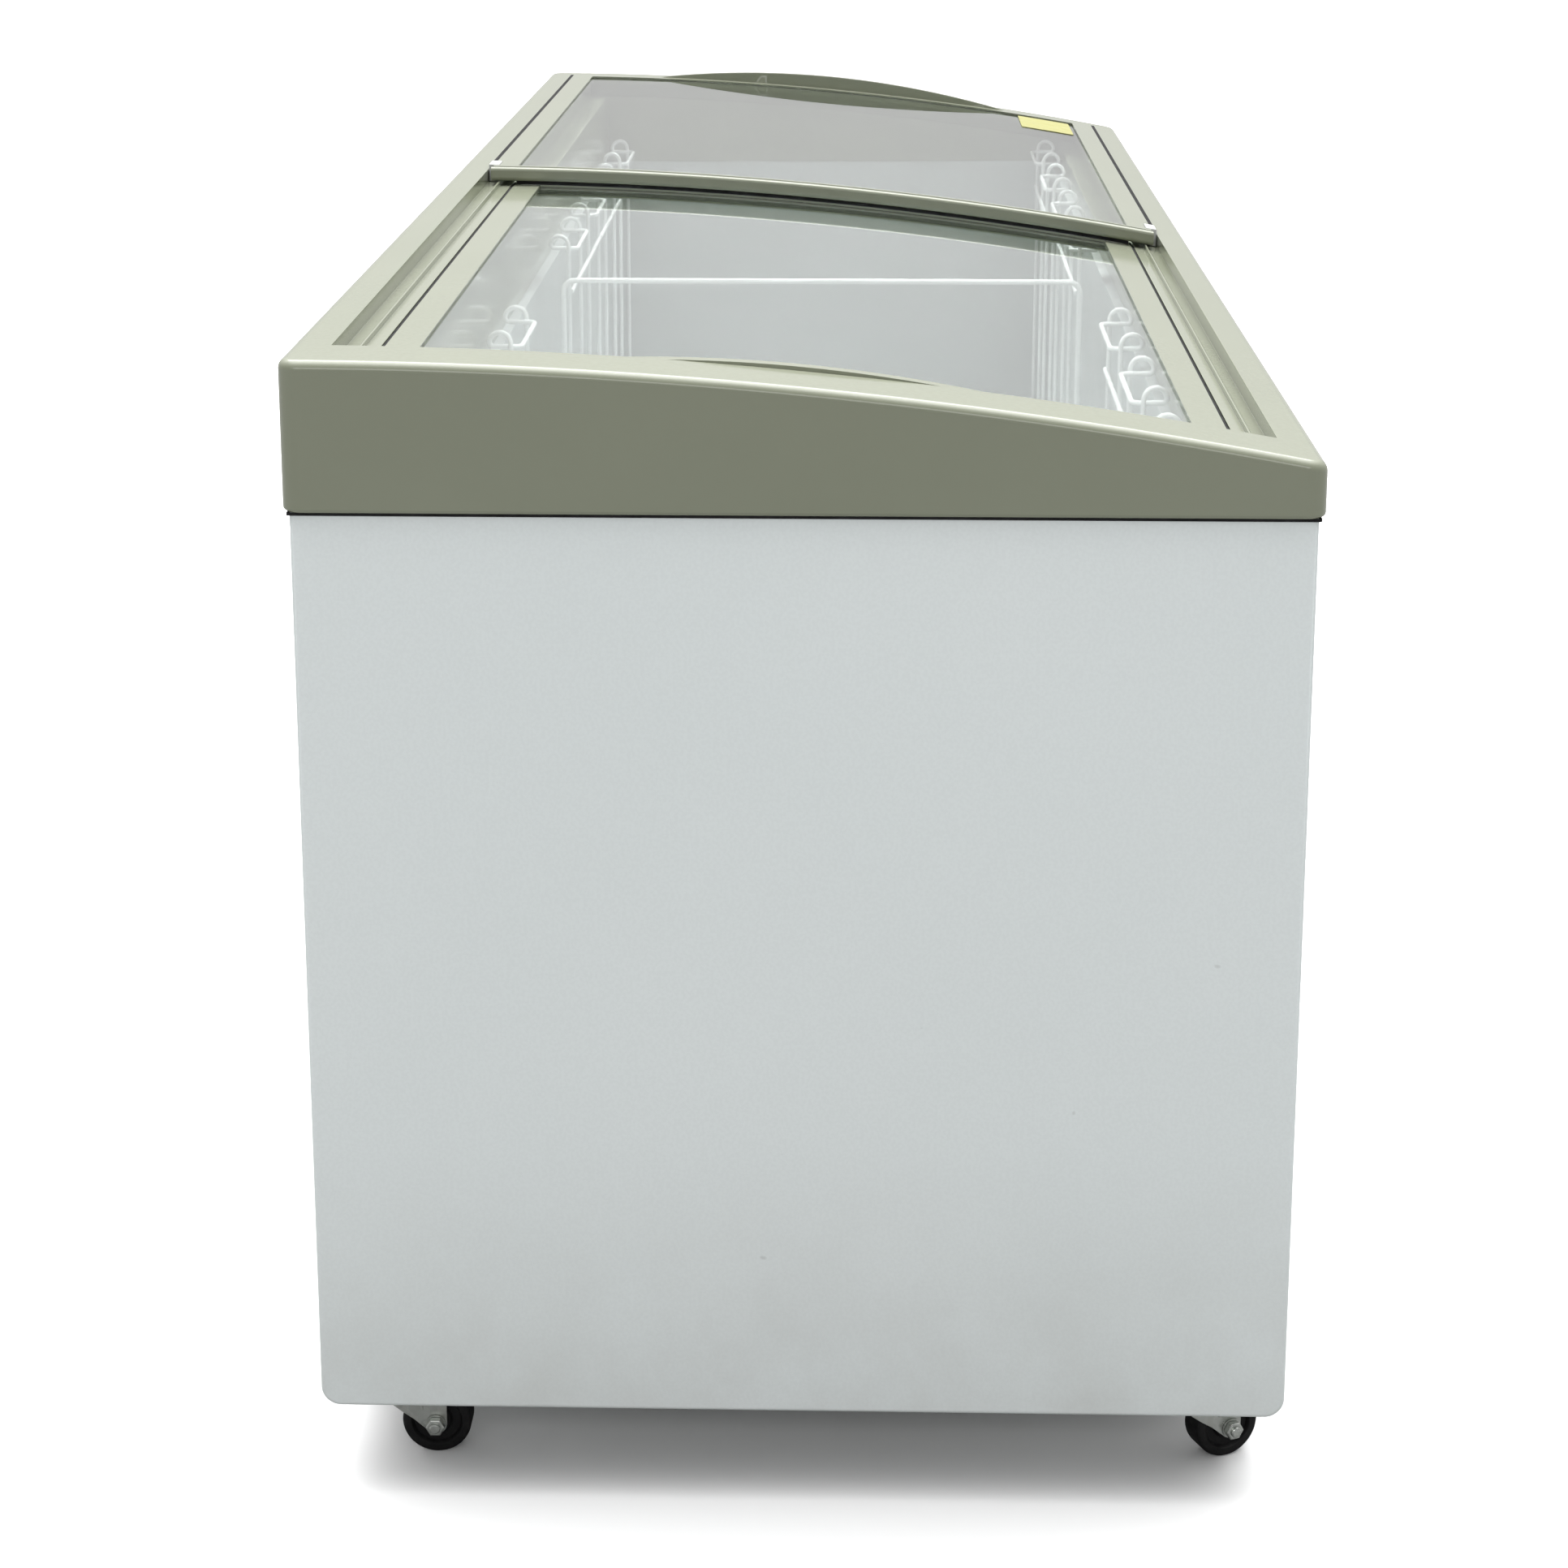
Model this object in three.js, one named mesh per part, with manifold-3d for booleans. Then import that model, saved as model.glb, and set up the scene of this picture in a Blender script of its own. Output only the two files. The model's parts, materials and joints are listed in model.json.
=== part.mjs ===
// A commercial display chest freezer on casters, with two curved glass lids that slide on two levels.
// Millimetres. +X runs along the freezer, -Y is the customer side, +Z is up.
// The origin is on the floor, under the middle of the cabinet.

import * as THREE from 'three';
import { mergeVertices } from 'three/addons/utils/BufferGeometryUtils.js';
import Module from 'manifold-3d';

// ---- Driving dimensions ----

const LENGTH = 1830;
const WIDTH = 685;
const REAR_TOP = 819; // collar height at the rear edge
const FRONT_TOP = 754; // collar height at the front edge
const COLLAR_BOTTOM = 717;
const BODY_BOTTOM = 69;
const GAP = 0.3; // between neighbours that touch

const COLLAR_OVERHANG = 5; // collar beyond the steel body
const COLLAR_CORNER = 14; // radius of its vertical corners
const COLLAR_WALL = 4;
const CHEEK_DEPTH = 57; // end cheek, along X

const LAND_INNER = 314.6; // inner edge of the rail's top land, from the centre plane
const TRACK_DEPTH = 12; // upper lid's track, below the land
const RIB_OUTER = 303;
const RIB_INNER = 301;
const RIB_HEIGHT = 4;
const STEP_EDGE = 291; // wall between the upper track and the lower one
const THROAT = 270; // inner wall of the rails, below the lids
const LOWER_SHELF = 25.3; // shelf under the lower lid, below the land

const LOWER_LID = { half: 288, inner: 264, top: -11.5, bottom: -25, x0: -857.4, x1: 30 };
const UPPER_LID = { half: 309.3, inner: 286, top: 4, bottom: -7.7, x0: 17.3, x1: 857.4 };
const LID_END_BAR = 24; // frame bar across a lid's outer end
const LID_INNER_BAR = 6; // frame bar across its other end
const LOWER_INNER_BAR = 24;
const GLASS_THICKNESS = 4;
const GLASS_BELOW_TOP = 2;
const GLASS_GRIP = 6; // glass held inside the frame
const GRIP_HALF_WIDTH = 205; // raised crescent that the lid is pulled by
const GRIP_HEIGHT = 14;
const GRIP_THICKNESS = 10;

const HANDLE = { x0: -1, x1: 17, half: 309.3, top: 5, bottom: -7.7 };
const SEAL = { x0: 3, x1: 9, half: 286, top: -8, bottom: -11.2 };
const CLIP = { x0: 25, x1: 50, inner: 304, outer: 314.2, top: 5, bottom: -11.7 };
const LABEL = { x0: 722, x1: 828, y0: -281, y1: -221, thickness: 0.5 };

const SHEET = 1; // steel panels
const PANEL_CORNER = 14; // bend along the body's lower edges
const END_RIM = 20; // rim of an end panel, folded round the body
const FLANGE = 34; // lower flange of the front and rear panels

const TANK_HALF_LENGTH = 853;
const TANK_HALF_WIDTH = 262;
const TANK_FLOOR = 150;
const LINER = 1.2;
const STEP_X = 545; // the tank is shallower beyond this
const STEP_FLOOR = 400;
const COIL_SPACE = 14; // between liner and foam
const COIL_TUBE = 8;
const COIL_BEND = 12;

const MACHINE = { x0: 575, x1: 889, top: 330 }; // compartment under the step
const VENT = { x0: 640, x1: 860, z0: 112, z1: 322, slots: 11 };
const VENT_OVERLAP = 8;
const VENT_PROUD = 3;

const WIRE = 4;
const RACK_FLOOR = TANK_FLOOR + 12;
const RIM_LEVEL = 733; // wire loops round the rim of the tank
const LOOP_LENGTH = 110;
const LOOP_PITCH = 212;
const LOOP_INNER = 238;
const LEG = 246; // upright wires, from the centre plane
const ARCH_RADIUS = 9;
const RACKS = { left: { start: -835, loops: 3 }, right: { start: 90, loops: 4 } };
const FOOT_RUNNER = RACK_FLOOR + 10; // lengthwise wires that tie the uprights together
const RUNNERS = [430, 690];
const CROSS_RAIL_X = -75;
const CROSS_RAIL_WIRE = 5;

const CASTER_X = 842;
const CASTER_Y = 285;
const WHEEL_RADIUS = 25;
const WHEEL_WIDTH = 20;
const TRAIL = 20;
const AXLE_RADIUS = 4;
const CASTER_PLATE = 60;
const CASTER_TURN = { front_left: 25 }; // degrees that a caster stands swivelled at rest

const FAN = { x: 728, y: -232, z: 205, radius: 62, tip: 5, blades: 5, pitch: 28, hub: 16 };
const SHROUD = { half: 90, top: 300, behind: 6, sheet: 2, rim: 3, depth: 18 };
const FAN_MOTOR = { radius: 28, front: 18, rear: 62, shaft: 3, bracket: 14 };
const COMPRESSOR = { x: 690, y: 140, radius: 72, top: 262, foot: 9, footHeight: 12, plate: 4 };
const TERMINAL_BOX = { depth: 34, half: 24, z0: 150, z1: 205 };
const CONDENSER = { y0: -322, y1: -272, z0: 112, z1: 298, finPitch: 22, tubePitch: 46, tube: 4 };
const DRIER = { x: 625, y: 60, z0: 120, z1: 235, radius: 12, tube: 4, neck: 12, cone: 8 };
const DRAIN = { x: -700, radius: 10, wall: 3, flange: 8, flangeHeight: 1.5, bottom: 62 };
const DRAIN_CAP = { bottom: 58, top: 74, rim: 3 };
const INLET = { x: 606, z: 130, radius: 9, nut: 4, depth: 20 };
const KNOB = { x: 836, z: 290, radius: 15, proud: 4, depth: 11, spindle: 3, ridge: 2.5 };
const THERMOSTAT = { half: 20, halfHeight: 22, front: 12, back: 34 };
const LAMP = { x: 836, z: 245, radius: 4, proud: 3, depth: 12 };

const HALF_LENGTH = LENGTH / 2;
const HALF_WIDTH = WIDTH / 2;
const BODY_HALF_LENGTH = HALF_LENGTH - COLLAR_OVERHANG;
const BODY_HALF_WIDTH = HALF_WIDTH - COLLAR_OVERHANG;
const BODY_TOP = COLLAR_BOTTOM - GAP;
const CHEEK_INNER = HALF_LENGTH - CHEEK_DEPTH;
const RAIL_HALF_LENGTH = CHEEK_INNER - GAP;
const OVER = 5; // how far a cutting solid runs past what it cuts

// The lids, tracks and collar follow one cylinder along X, level at the rear edge.
const DROP = REAR_TOP - FRONT_TOP;
const ARC_RADIUS = (WIDTH ** 2 + DROP ** 2) / (2 * DROP);
const ARC_CENTRE_Z = REAR_TOP - ARC_RADIUS;

// ---- Materials ----

const finish = (color, roughness, metalness = 0) =>
  new THREE.MeshStandardMaterial({ color, roughness, metalness });
const MATERIALS = {
  steelWhite: finish(0xdde2e1, 0.42),
  olive: finish(0x8d9180, 0.28),
  glass: new THREE.MeshStandardMaterial({
    color: 0xbfd0c8, roughness: 0.05, transparent: true, opacity: 0.35,
  }),
  black: finish(0x15161a, 0.55),
  wire: finish(0xeef0f0, 0.35),
  liner: finish(0xd6dbdc, 0.4),
  foam: finish(0xe7dcae, 0.9),
  zinc: finish(0xb9bcc0, 0.35, 0.9),
  copper: finish(0xb87350, 0.35, 0.9),
  darkSteel: finish(0x24262a, 0.5, 0.4),
  greyPlastic: finish(0x9a9d97, 0.5),
  yellow: finish(0xe7e497, 0.6),
  lamp: finish(0x35b558, 0.3),
};

// ---- Geometry helpers ----

const wasm = await Module();
wasm.setup();

const X = new THREE.Vector3(1, 0, 0);
const Y = new THREE.Vector3(0, 1, 0);
const Z = new THREE.Vector3(0, 0, 1);

function toSolid(geometry) {
  const bare = geometry.clone();
  bare.deleteAttribute('normal');
  bare.deleteAttribute('uv');
  const merged = mergeVertices(bare, 1e-4);
  return new wasm.Manifold(new wasm.Mesh({
    numProp: 3,
    vertProperties: Float32Array.from(merged.attributes.position.array),
    triVerts: Uint32Array.from(merged.index.array),
  }));
}

function toGeometry(solid) {
  const mesh = solid.getMesh();
  const geometry = new THREE.BufferGeometry();
  geometry.setAttribute('position', new THREE.BufferAttribute(Float32Array.from(mesh.vertProperties), 3));
  geometry.setIndex(new THREE.BufferAttribute(Uint32Array.from(mesh.triVerts), 1));
  geometry.computeVertexNormals();
  return geometry;
}

function join(first, ...others) {
  return toGeometry(others.reduce((all, next) => all.add(toSolid(next)), toSolid(first)));
}

function cut(base, ...tools) {
  return toGeometry(tools.reduce((left, tool) => left.subtract(toSolid(tool)), toSolid(base)));
}

function common(a, b) {
  return toGeometry(toSolid(a).intersect(toSolid(b)));
}

function extrude(points, depth) {
  const shape = new THREE.Shape(points.map(([u, v]) => new THREE.Vector2(u, v)));
  return new THREE.ExtrudeGeometry(shape, { depth, bevelEnabled: false });
}

// Points are [y, z].
function alongX(points, x0, x1) {
  const geometry = extrude(points, x1 - x0);
  geometry.applyMatrix4(new THREE.Matrix4().makeBasis(Y, Z, X));
  return geometry.translate(x0, 0, 0);
}

// Points are [x, z].
function alongY(points, y0, y1) {
  const geometry = extrude(points, y1 - y0);
  geometry.applyMatrix4(new THREE.Matrix4().makeBasis(X, Z, Y.clone().negate()));
  return geometry.translate(0, y1, 0);
}

// Points are [x, y].
function alongZ(points, z0, z1) {
  return extrude(points, z1 - z0).translate(0, 0, z0);
}

function box(x0, x1, y0, y1, z0, z1) {
  const geometry = new THREE.BoxGeometry(x1 - x0, y1 - y0, z1 - z0);
  return geometry.translate((x0 + x1) / 2, (y0 + y1) / 2, (z0 + z1) / 2);
}

const TURN = {
  x: (geometry) => geometry.rotateZ(-Math.PI / 2),
  y: (geometry) => geometry,
  z: (geometry) => geometry.rotateX(Math.PI / 2),
};

// A round bar from low to high along an axis, centred on the point.
function bar(axis, radius, low, high, point, sides = 20) {
  const geometry = TURN[axis](new THREE.CylinderGeometry(radius, radius, high - low, sides));
  const centre = { x: point[0], y: point[1], z: point[2] };
  centre[axis] += (low + high) / 2;
  return geometry.translate(centre.x, centre.y, centre.z);
}

// A turned piece. Profile points are [radius, height along the axis].
function turned(axis, profile, point, sides = 24) {
  const points = profile.map(([r, h]) => new THREE.Vector2(r, h));
  return TURN[axis](new THREE.LatheGeometry(points, sides)).translate(...point);
}

function circle(u, v, radius, sides = 24) {
  return Array.from({ length: sides }, (_, i) => {
    const angle = (2 * Math.PI * i) / sides;
    return [u + radius * Math.cos(angle), v + radius * Math.sin(angle)];
  });
}

// The arc about (u, v) from one angle to another, in degrees.
function arc(u, v, radius, from, to, steps) {
  return Array.from({ length: steps + 1 }, (_, i) => {
    const angle = THREE.MathUtils.degToRad(from + ((to - from) * i) / steps);
    return [u + radius * Math.cos(angle), v + radius * Math.sin(angle)];
  });
}

function roundedRectangle(u0, u1, v0, v1, radius, steps = 4) {
  return [
    ...arc(u1 - radius, v1 - radius, radius, 0, 90, steps),
    ...arc(u0 + radius, v1 - radius, radius, 90, 180, steps),
    ...arc(u0 + radius, v0 + radius, radius, 180, 270, steps),
    ...arc(u1 - radius, v0 + radius, radius, 270, 360, steps),
  ];
}

// A path that turns only at its own points, each with the mean direction of the stretches it joins.
class WirePath extends THREE.Curve {
  constructor(points) {
    super();
    this.points = points.map((point) => new THREE.Vector3(...point));
  }

  getPoint(t) {
    return this.points[Math.round(t * (this.points.length - 1))].clone();
  }

  getTangent(t) {
    const last = this.points.length - 1;
    const i = Math.round(t * last);
    const before = i > 0 ? this.direction(i - 1) : this.direction(0);
    const after = i < last ? this.direction(i) : this.direction(last - 1);
    return before.add(after).normalize();
  }

  direction(i) {
    return this.points[i + 1].clone().sub(this.points[i]).normalize();
  }

  getPointAt(u) {
    return this.getPoint(u);
  }

  getTangentAt(u) {
    return this.getTangent(u);
  }
}

// A round tube through points given as [x, y, z].
function wireThrough(points, diameter, sides = 6) {
  const outline = circle(0, 0, diameter / 2, sides).map(([u, v]) => new THREE.Vector2(u, v));
  return new THREE.ExtrudeGeometry(
    new THREE.Shape(outline),
    { steps: points.length - 1, extrudePath: new WirePath(points) },
  );
}

// Height of the lid cylinder at y, moved out along its radius.
function surfaceZ(y, offset = 0) {
  return ARC_CENTRE_Z + Math.sqrt((ARC_RADIUS + offset) ** 2 - (y - HALF_WIDTH) ** 2);
}

function curve(y0, y1, offset, steps) {
  return Array.from({ length: steps + 1 }, (_, i) => {
    const y = y0 + ((y1 - y0) * i) / steps;
    return [y, surfaceZ(y, offset)];
  });
}

// A curved plate between two offsets from the lid cylinder.
function curvedPlate(y0, y1, bottom, top, x0, x1, steps = 12) {
  return alongX([...curve(y0, y1, bottom, steps), ...curve(y1, y0, top, steps)], x0, x1);
}

// ---- Assembly ----

const freezer = new THREE.Group();

function add(name, geometry, material, position = [0, 0, 0], turn = 0) {
  const mesh = new THREE.Mesh(geometry, material);
  mesh.name = name;
  mesh.position.set(...position);
  mesh.rotation.z = turn;
  freezer.add(mesh);
}

// ---- Steel body ----

// The body seen from its end: square above, rounded along the lower edges.
function bodyOutline(inset, top) {
  const half = BODY_HALF_WIDTH - inset;
  const floor = BODY_BOTTOM + inset;
  const radius = PANEL_CORNER - inset;
  return [
    [half, top],
    [-half, top],
    ...arc(-half + radius, floor + radius, radius, 180, 270, 5),
    ...arc(half - radius, floor + radius, radius, 270, 360, 5),
  ];
}

function endPanel(side) {
  const outer = side * BODY_HALF_LENGTH;
  const inner = side * (BODY_HALF_LENGTH - SHEET);
  const rim = side * (BODY_HALF_LENGTH - END_RIM);
  const past = side * (BODY_HALF_LENGTH - END_RIM - OVER);
  return cut(
    alongX(bodyOutline(0, BODY_TOP), Math.min(outer, rim), Math.max(outer, rim)),
    alongX(bodyOutline(SHEET, BODY_TOP + OVER), Math.min(inner, past), Math.max(inner, past)),
  );
}

// A long panel with its lower edge bent under the body. side is +1 at the rear.
function longPanel(side) {
  const bend = BODY_HALF_WIDTH - PANEL_CORNER;
  const bendZ = BODY_BOTTOM + PANEL_CORNER;
  const flangeEnd = BODY_HALF_WIDTH - FLANGE;
  const outline = [
    [BODY_HALF_WIDTH, BODY_TOP],
    [BODY_HALF_WIDTH - SHEET, BODY_TOP],
    ...arc(bend, bendZ, PANEL_CORNER - SHEET, 360, 270, 5),
    [flangeEnd, BODY_BOTTOM + SHEET],
    [flangeEnd, BODY_BOTTOM],
    ...arc(bend, bendZ, PANEL_CORNER, 270, 360, 5),
  ];
  const points = outline.map(([y, z]) => [side * y, z]);
  const halfLength = BODY_HALF_LENGTH - END_RIM - GAP;
  return alongX(side > 0 ? points : points.reverse(), -halfLength, halfLength);
}

function ventHole(side) {
  const y = side * BODY_HALF_WIDTH;
  return box(VENT.x0, VENT.x1, y - OVER, y + OVER, VENT.z0, VENT.z1);
}

function bottomPanel() {
  const halfLength = BODY_HALF_LENGTH - END_RIM - GAP;
  const halfWidth = BODY_HALF_WIDTH - FLANGE - GAP;
  return cut(
    box(-halfLength, halfLength, -halfWidth, halfWidth, BODY_BOTTOM, BODY_BOTTOM + SHEET),
    bar('z', DRAIN.radius + GAP, 0, TANK_FLOOR, [DRAIN.x, 0, 0]),
  );
}

function addBody() {
  add('end_panel_left', endPanel(-1), MATERIALS.steelWhite);
  add('end_panel_right', endPanel(1), MATERIALS.steelWhite);
  add('front_panel', cut(longPanel(-1), ventHole(-1)), MATERIALS.steelWhite);
  const inletHole = bar('y', INLET.radius + GAP, 300, HALF_WIDTH, [INLET.x, 0, INLET.z]);
  add('rear_panel', cut(longPanel(1), ventHole(1), inletHole), MATERIALS.steelWhite);
  add('bottom_panel', bottomPanel(), MATERIALS.steelWhite);
}

// ---- Tank ----

// The tank seen from the front, with its step over the machine compartment.
function tankOutline(grow, top) {
  const end = TANK_HALF_LENGTH + grow;
  return [
    [-end, TANK_FLOOR - grow],
    [STEP_X + grow, TANK_FLOOR - grow],
    [STEP_X + grow, STEP_FLOOR - grow],
    [end, STEP_FLOOR - grow],
    [end, top],
    [-end, top],
  ];
}

function tankVolume(grow, top) {
  const half = TANK_HALF_WIDTH + grow;
  return alongY(tankOutline(grow, top), -half, half);
}

const RIM_X = BODY_HALF_LENGTH - SHEET - GAP;
const RIM_Y = BODY_HALF_WIDTH - SHEET - GAP;
const RIM_BOTTOM = BODY_TOP - LINER;

// One folded sheet: left end, floor, step and right end, with a rim flange at each end.
function linerWrap() {
  const half = TANK_HALF_WIDTH - GAP;
  const rims = [-1, 1].map((side) => {
    const [near, far] = [side * TANK_HALF_LENGTH, side * RIM_X];
    return box(Math.min(near, far), Math.max(near, far), -half, half, RIM_BOTTOM, BODY_TOP);
  });
  const sheet = cut(
    alongY(tankOutline(LINER, BODY_TOP), -half, half),
    alongY(tankOutline(0, BODY_TOP + OVER), -half - OVER, half + OVER),
  );
  const drainHole = bar('z', DRAIN.radius + GAP, 0, TANK_FLOOR + OVER, [DRAIN.x, 0, 0]);
  return cut(join(sheet, ...rims), drainHole);
}

// A long wall with its rim flange. side is +1 at the rear.
function linerWall(side) {
  const span = (low, high) => (side > 0 ? [low, high] : [-high, -low]);
  const wall = alongY(
    tankOutline(LINER, BODY_TOP), ...span(TANK_HALF_WIDTH, TANK_HALF_WIDTH + LINER),
  );
  return join(wall, box(-RIM_X, RIM_X, ...span(TANK_HALF_WIDTH, RIM_Y), RIM_BOTTOM, BODY_TOP));
}

function insulationFoam() {
  const top = RIM_BOTTOM - GAP;
  const outline = roundedRectangle(
    -RIM_Y, RIM_Y, BODY_BOTTOM + SHEET + GAP, top + PANEL_CORNER, PANEL_CORNER - SHEET - GAP,
  );
  const above = box(-RIM_X - OVER, RIM_X + OVER, -HALF_WIDTH, HALF_WIDTH, top, top + HALF_WIDTH);
  const machine = box(MACHINE.x0, RIM_X + OVER, -HALF_WIDTH, HALF_WIDTH, 0, MACHINE.top);
  const drainHole = bar('z', DRAIN.radius + GAP, 0, TANK_FLOOR, [DRAIN.x, 0, 0]);
  const tank = tankVolume(LINER + COIL_SPACE, BODY_TOP + OVER);
  return cut(alongX(outline, -RIM_X, RIM_X), above, machine, drainHole, tank);
}

// One tube wound round the tank from just above the step up to the rim.
function evaporatorCoil() {
  const turns = 4;
  const low = STEP_FLOOR + 50;
  const pitch = 60;
  const x = TANK_HALF_LENGTH + LINER + COIL_SPACE / 2;
  const y = TANK_HALF_WIDTH + LINER + COIL_SPACE / 2;
  const ring = roundedRectangle(-x, x, -y, y, COIL_BEND, 4);
  const points = [];
  for (let turn = 0; turn < turns; turn += 1) {
    ring.forEach(([px, py], i) => points.push([px, py, low + pitch * (turn + i / ring.length)]));
  }
  return wireThrough(points, COIL_TUBE);
}

function drainTube() {
  const { radius, flange, bottom } = DRAIN;
  const bore = radius - DRAIN.wall;
  const seat = TANK_FLOOR + GAP;
  const top = seat + DRAIN.flangeHeight;
  return turned('z', [
    [bore, bottom],
    [radius, bottom],
    [radius, seat],
    [radius + flange, seat],
    [radius + flange, top],
    [bore, top],
    [bore, bottom],
  ], [DRAIN.x, 0, 0], 16);
}

function drainCap() {
  const { bottom, top, rim } = DRAIN_CAP;
  const plug = bar('z', DRAIN.radius - DRAIN.wall - GAP, bottom + 2, top, [DRAIN.x, 0, 0]);
  const flange = bar('z', DRAIN.radius + rim, bottom, DRAIN.bottom - GAP, [DRAIN.x, 0, 0]);
  return join(plug, flange);
}

function addTank() {
  add('liner_wrap', linerWrap(), MATERIALS.liner);
  add('liner_wall_front', linerWall(-1), MATERIALS.liner);
  add('liner_wall_rear', linerWall(1), MATERIALS.liner);
  add('insulation_foam', insulationFoam(), MATERIALS.foam);
  add('evaporator_coil', evaporatorCoil(), MATERIALS.copper);
  add('drain_tube', drainTube(), MATERIALS.greyPlastic);
  add('drain_cap', drainCap(), MATERIALS.black);
}

// ---- Collar ----

// Section of a long rail: outer land, upper lid's track with its rib, lower lid's shelf, throat.
function rail(side) {
  const at = (distance, offset) => [side * distance, surfaceZ(side * distance, offset)];
  const profile = [
    [side * HALF_WIDTH, COLLAR_BOTTOM],
    at(HALF_WIDTH, 0),
    at(LAND_INNER, 0),
    at(LAND_INNER, -TRACK_DEPTH),
    at(RIB_OUTER, -TRACK_DEPTH),
    at(RIB_OUTER, RIB_HEIGHT - TRACK_DEPTH),
    at(RIB_INNER, RIB_HEIGHT - TRACK_DEPTH),
    at(RIB_INNER, -TRACK_DEPTH),
    at(STEP_EDGE, -TRACK_DEPTH),
    at(STEP_EDGE, -LOWER_SHELF),
    at(THROAT, -LOWER_SHELF),
    [side * THROAT, COLLAR_BOTTOM],
  ];
  const under = -TRACK_DEPTH - COLLAR_WALL;
  const hollow = [
    [side * (HALF_WIDTH - COLLAR_WALL), COLLAR_BOTTOM - OVER],
    at(HALF_WIDTH - COLLAR_WALL, under),
    at(STEP_EDGE + COLLAR_WALL, under),
    at(STEP_EDGE + COLLAR_WALL, -LOWER_SHELF - COLLAR_WALL),
    at(THROAT + COLLAR_WALL, -LOWER_SHELF - COLLAR_WALL),
    [side * (THROAT + COLLAR_WALL), COLLAR_BOTTOM - OVER],
  ];
  const wound = (points) => (side > 0 ? points : [...points].reverse());
  return cut(
    alongX(wound(profile), -RAIL_HALF_LENGTH, RAIL_HALF_LENGTH),
    alongX(wound(hollow), -RAIL_HALF_LENGTH - OVER, RAIL_HALF_LENGTH + OVER),
  );
}

// An end cheek: the full curved height outside, and a low shelf that reaches in under the lid.
function cheek(side) {
  const outerX = [CHEEK_INNER, HALF_LENGTH];
  const shelfX = [TANK_HALF_LENGTH, CHEEK_INNER + OVER];
  const hollowX = [TANK_HALF_LENGTH + COLLAR_WALL, HALF_LENGTH - COLLAR_WALL];
  const span = ([a, b]) => (side > 0 ? [a, b] : [-b, -a]);
  const half = THROAT - GAP;
  const hollowHalf = HALF_WIDTH - COLLAR_WALL;
  const block = alongX(
    [[-HALF_WIDTH, COLLAR_BOTTOM], [HALF_WIDTH, COLLAR_BOTTOM], ...curve(HALF_WIDTH, -HALF_WIDTH, 0, 16)],
    ...span(outerX),
  );
  const shelf = alongX(
    [[-half, COLLAR_BOTTOM], [half, COLLAR_BOTTOM], ...curve(half, -half, -LOWER_SHELF, 12)],
    ...span(shelfX),
  );
  const under = -LOWER_SHELF - COLLAR_WALL;
  const hollow = (width, x) => alongX(
    [
      [-width, COLLAR_BOTTOM - OVER],
      [width, COLLAR_BOTTOM - OVER],
      ...curve(width, -width, under, 12),
    ],
    ...span(x),
  );
  const rounded = alongZ(
    roundedRectangle(-HALF_LENGTH, HALF_LENGTH, -HALF_WIDTH, HALF_WIDTH, COLLAR_CORNER, 5),
    COLLAR_BOTTOM - OVER,
    REAR_TOP + OVER,
  );
  return common(cut(
    join(block, shelf),
    hollow(half - COLLAR_WALL, hollowX),
    hollow(hollowHalf - COLLAR_CORNER / 2, [CHEEK_INNER + COLLAR_WALL, HALF_LENGTH - COLLAR_WALL]),
  ), rounded);
}

function addCollar() {
  add('collar_cheek_left', cheek(-1), MATERIALS.olive);
  add('collar_cheek_right', cheek(1), MATERIALS.olive);
  add('collar_rail_front', rail(-1), MATERIALS.olive);
  add('collar_rail_rear', rail(1), MATERIALS.olive);
}

// ---- Lids ----

// A frame bent to the lid cylinder, with a groove for the glass. bars are its widths at low and high X.
function lidFrame(lid, bars) {
  const { half, inner, top, bottom, x0, x1 } = lid;
  const glassTop = top - GLASS_BELOW_TOP;
  const opening = [x0 + bars[0], x1 - bars[1]];
  return cut(
    curvedPlate(-half, half, bottom, top, x0, x1),
    curvedPlate(-inner, inner, bottom - OVER, top + OVER, ...opening),
    curvedPlate(
      -inner - GLASS_GRIP - GAP, inner + GLASS_GRIP + GAP,
      glassTop - GLASS_THICKNESS - GAP, glassTop + GAP,
      opening[0] - glassGrip(bars[0]) - GAP, opening[1] + glassGrip(bars[1]) + GAP,
    ),
  );
}

// A narrow bar holds less of the glass.
function glassGrip(barWidth) {
  return Math.min(GLASS_GRIP, barWidth / 2);
}

function lidGlass(lid, bars) {
  const { inner, top, x0, x1 } = lid;
  const glassTop = top - GLASS_BELOW_TOP;
  return curvedPlate(
    -inner - GLASS_GRIP, inner + GLASS_GRIP, glassTop - GLASS_THICKNESS, glassTop,
    x0 + bars[0] - glassGrip(bars[0]), x1 - bars[1] + glassGrip(bars[1]),
  );
}

// The raised crescent at the outer end of a lid.
function crescentGrip(lidTop, x0) {
  const steps = 16;
  const crest = Array.from({ length: steps + 1 }, (_, i) => {
    const y = GRIP_HALF_WIDTH * (1 - (2 * i) / steps);
    return [y, surfaceZ(y, lidTop + GRIP_HEIGHT * (1 - (y / GRIP_HALF_WIDTH) ** 2))];
  });
  const foot = curve(-GRIP_HALF_WIDTH, GRIP_HALF_WIDTH, lidTop - 2, steps);
  return alongX([...foot, ...crest], x0, x0 + GRIP_THICKNESS);
}

function addLowerLid() {
  const bars = [LID_END_BAR, LOWER_INNER_BAR];
  const grip = crescentGrip(LOWER_LID.top, LOWER_LID.x0);
  add('lower_lid_frame', join(lidFrame(LOWER_LID, bars), grip), MATERIALS.olive);
  add('lower_lid_glass', lidGlass(LOWER_LID, bars), MATERIALS.glass);
}

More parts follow.
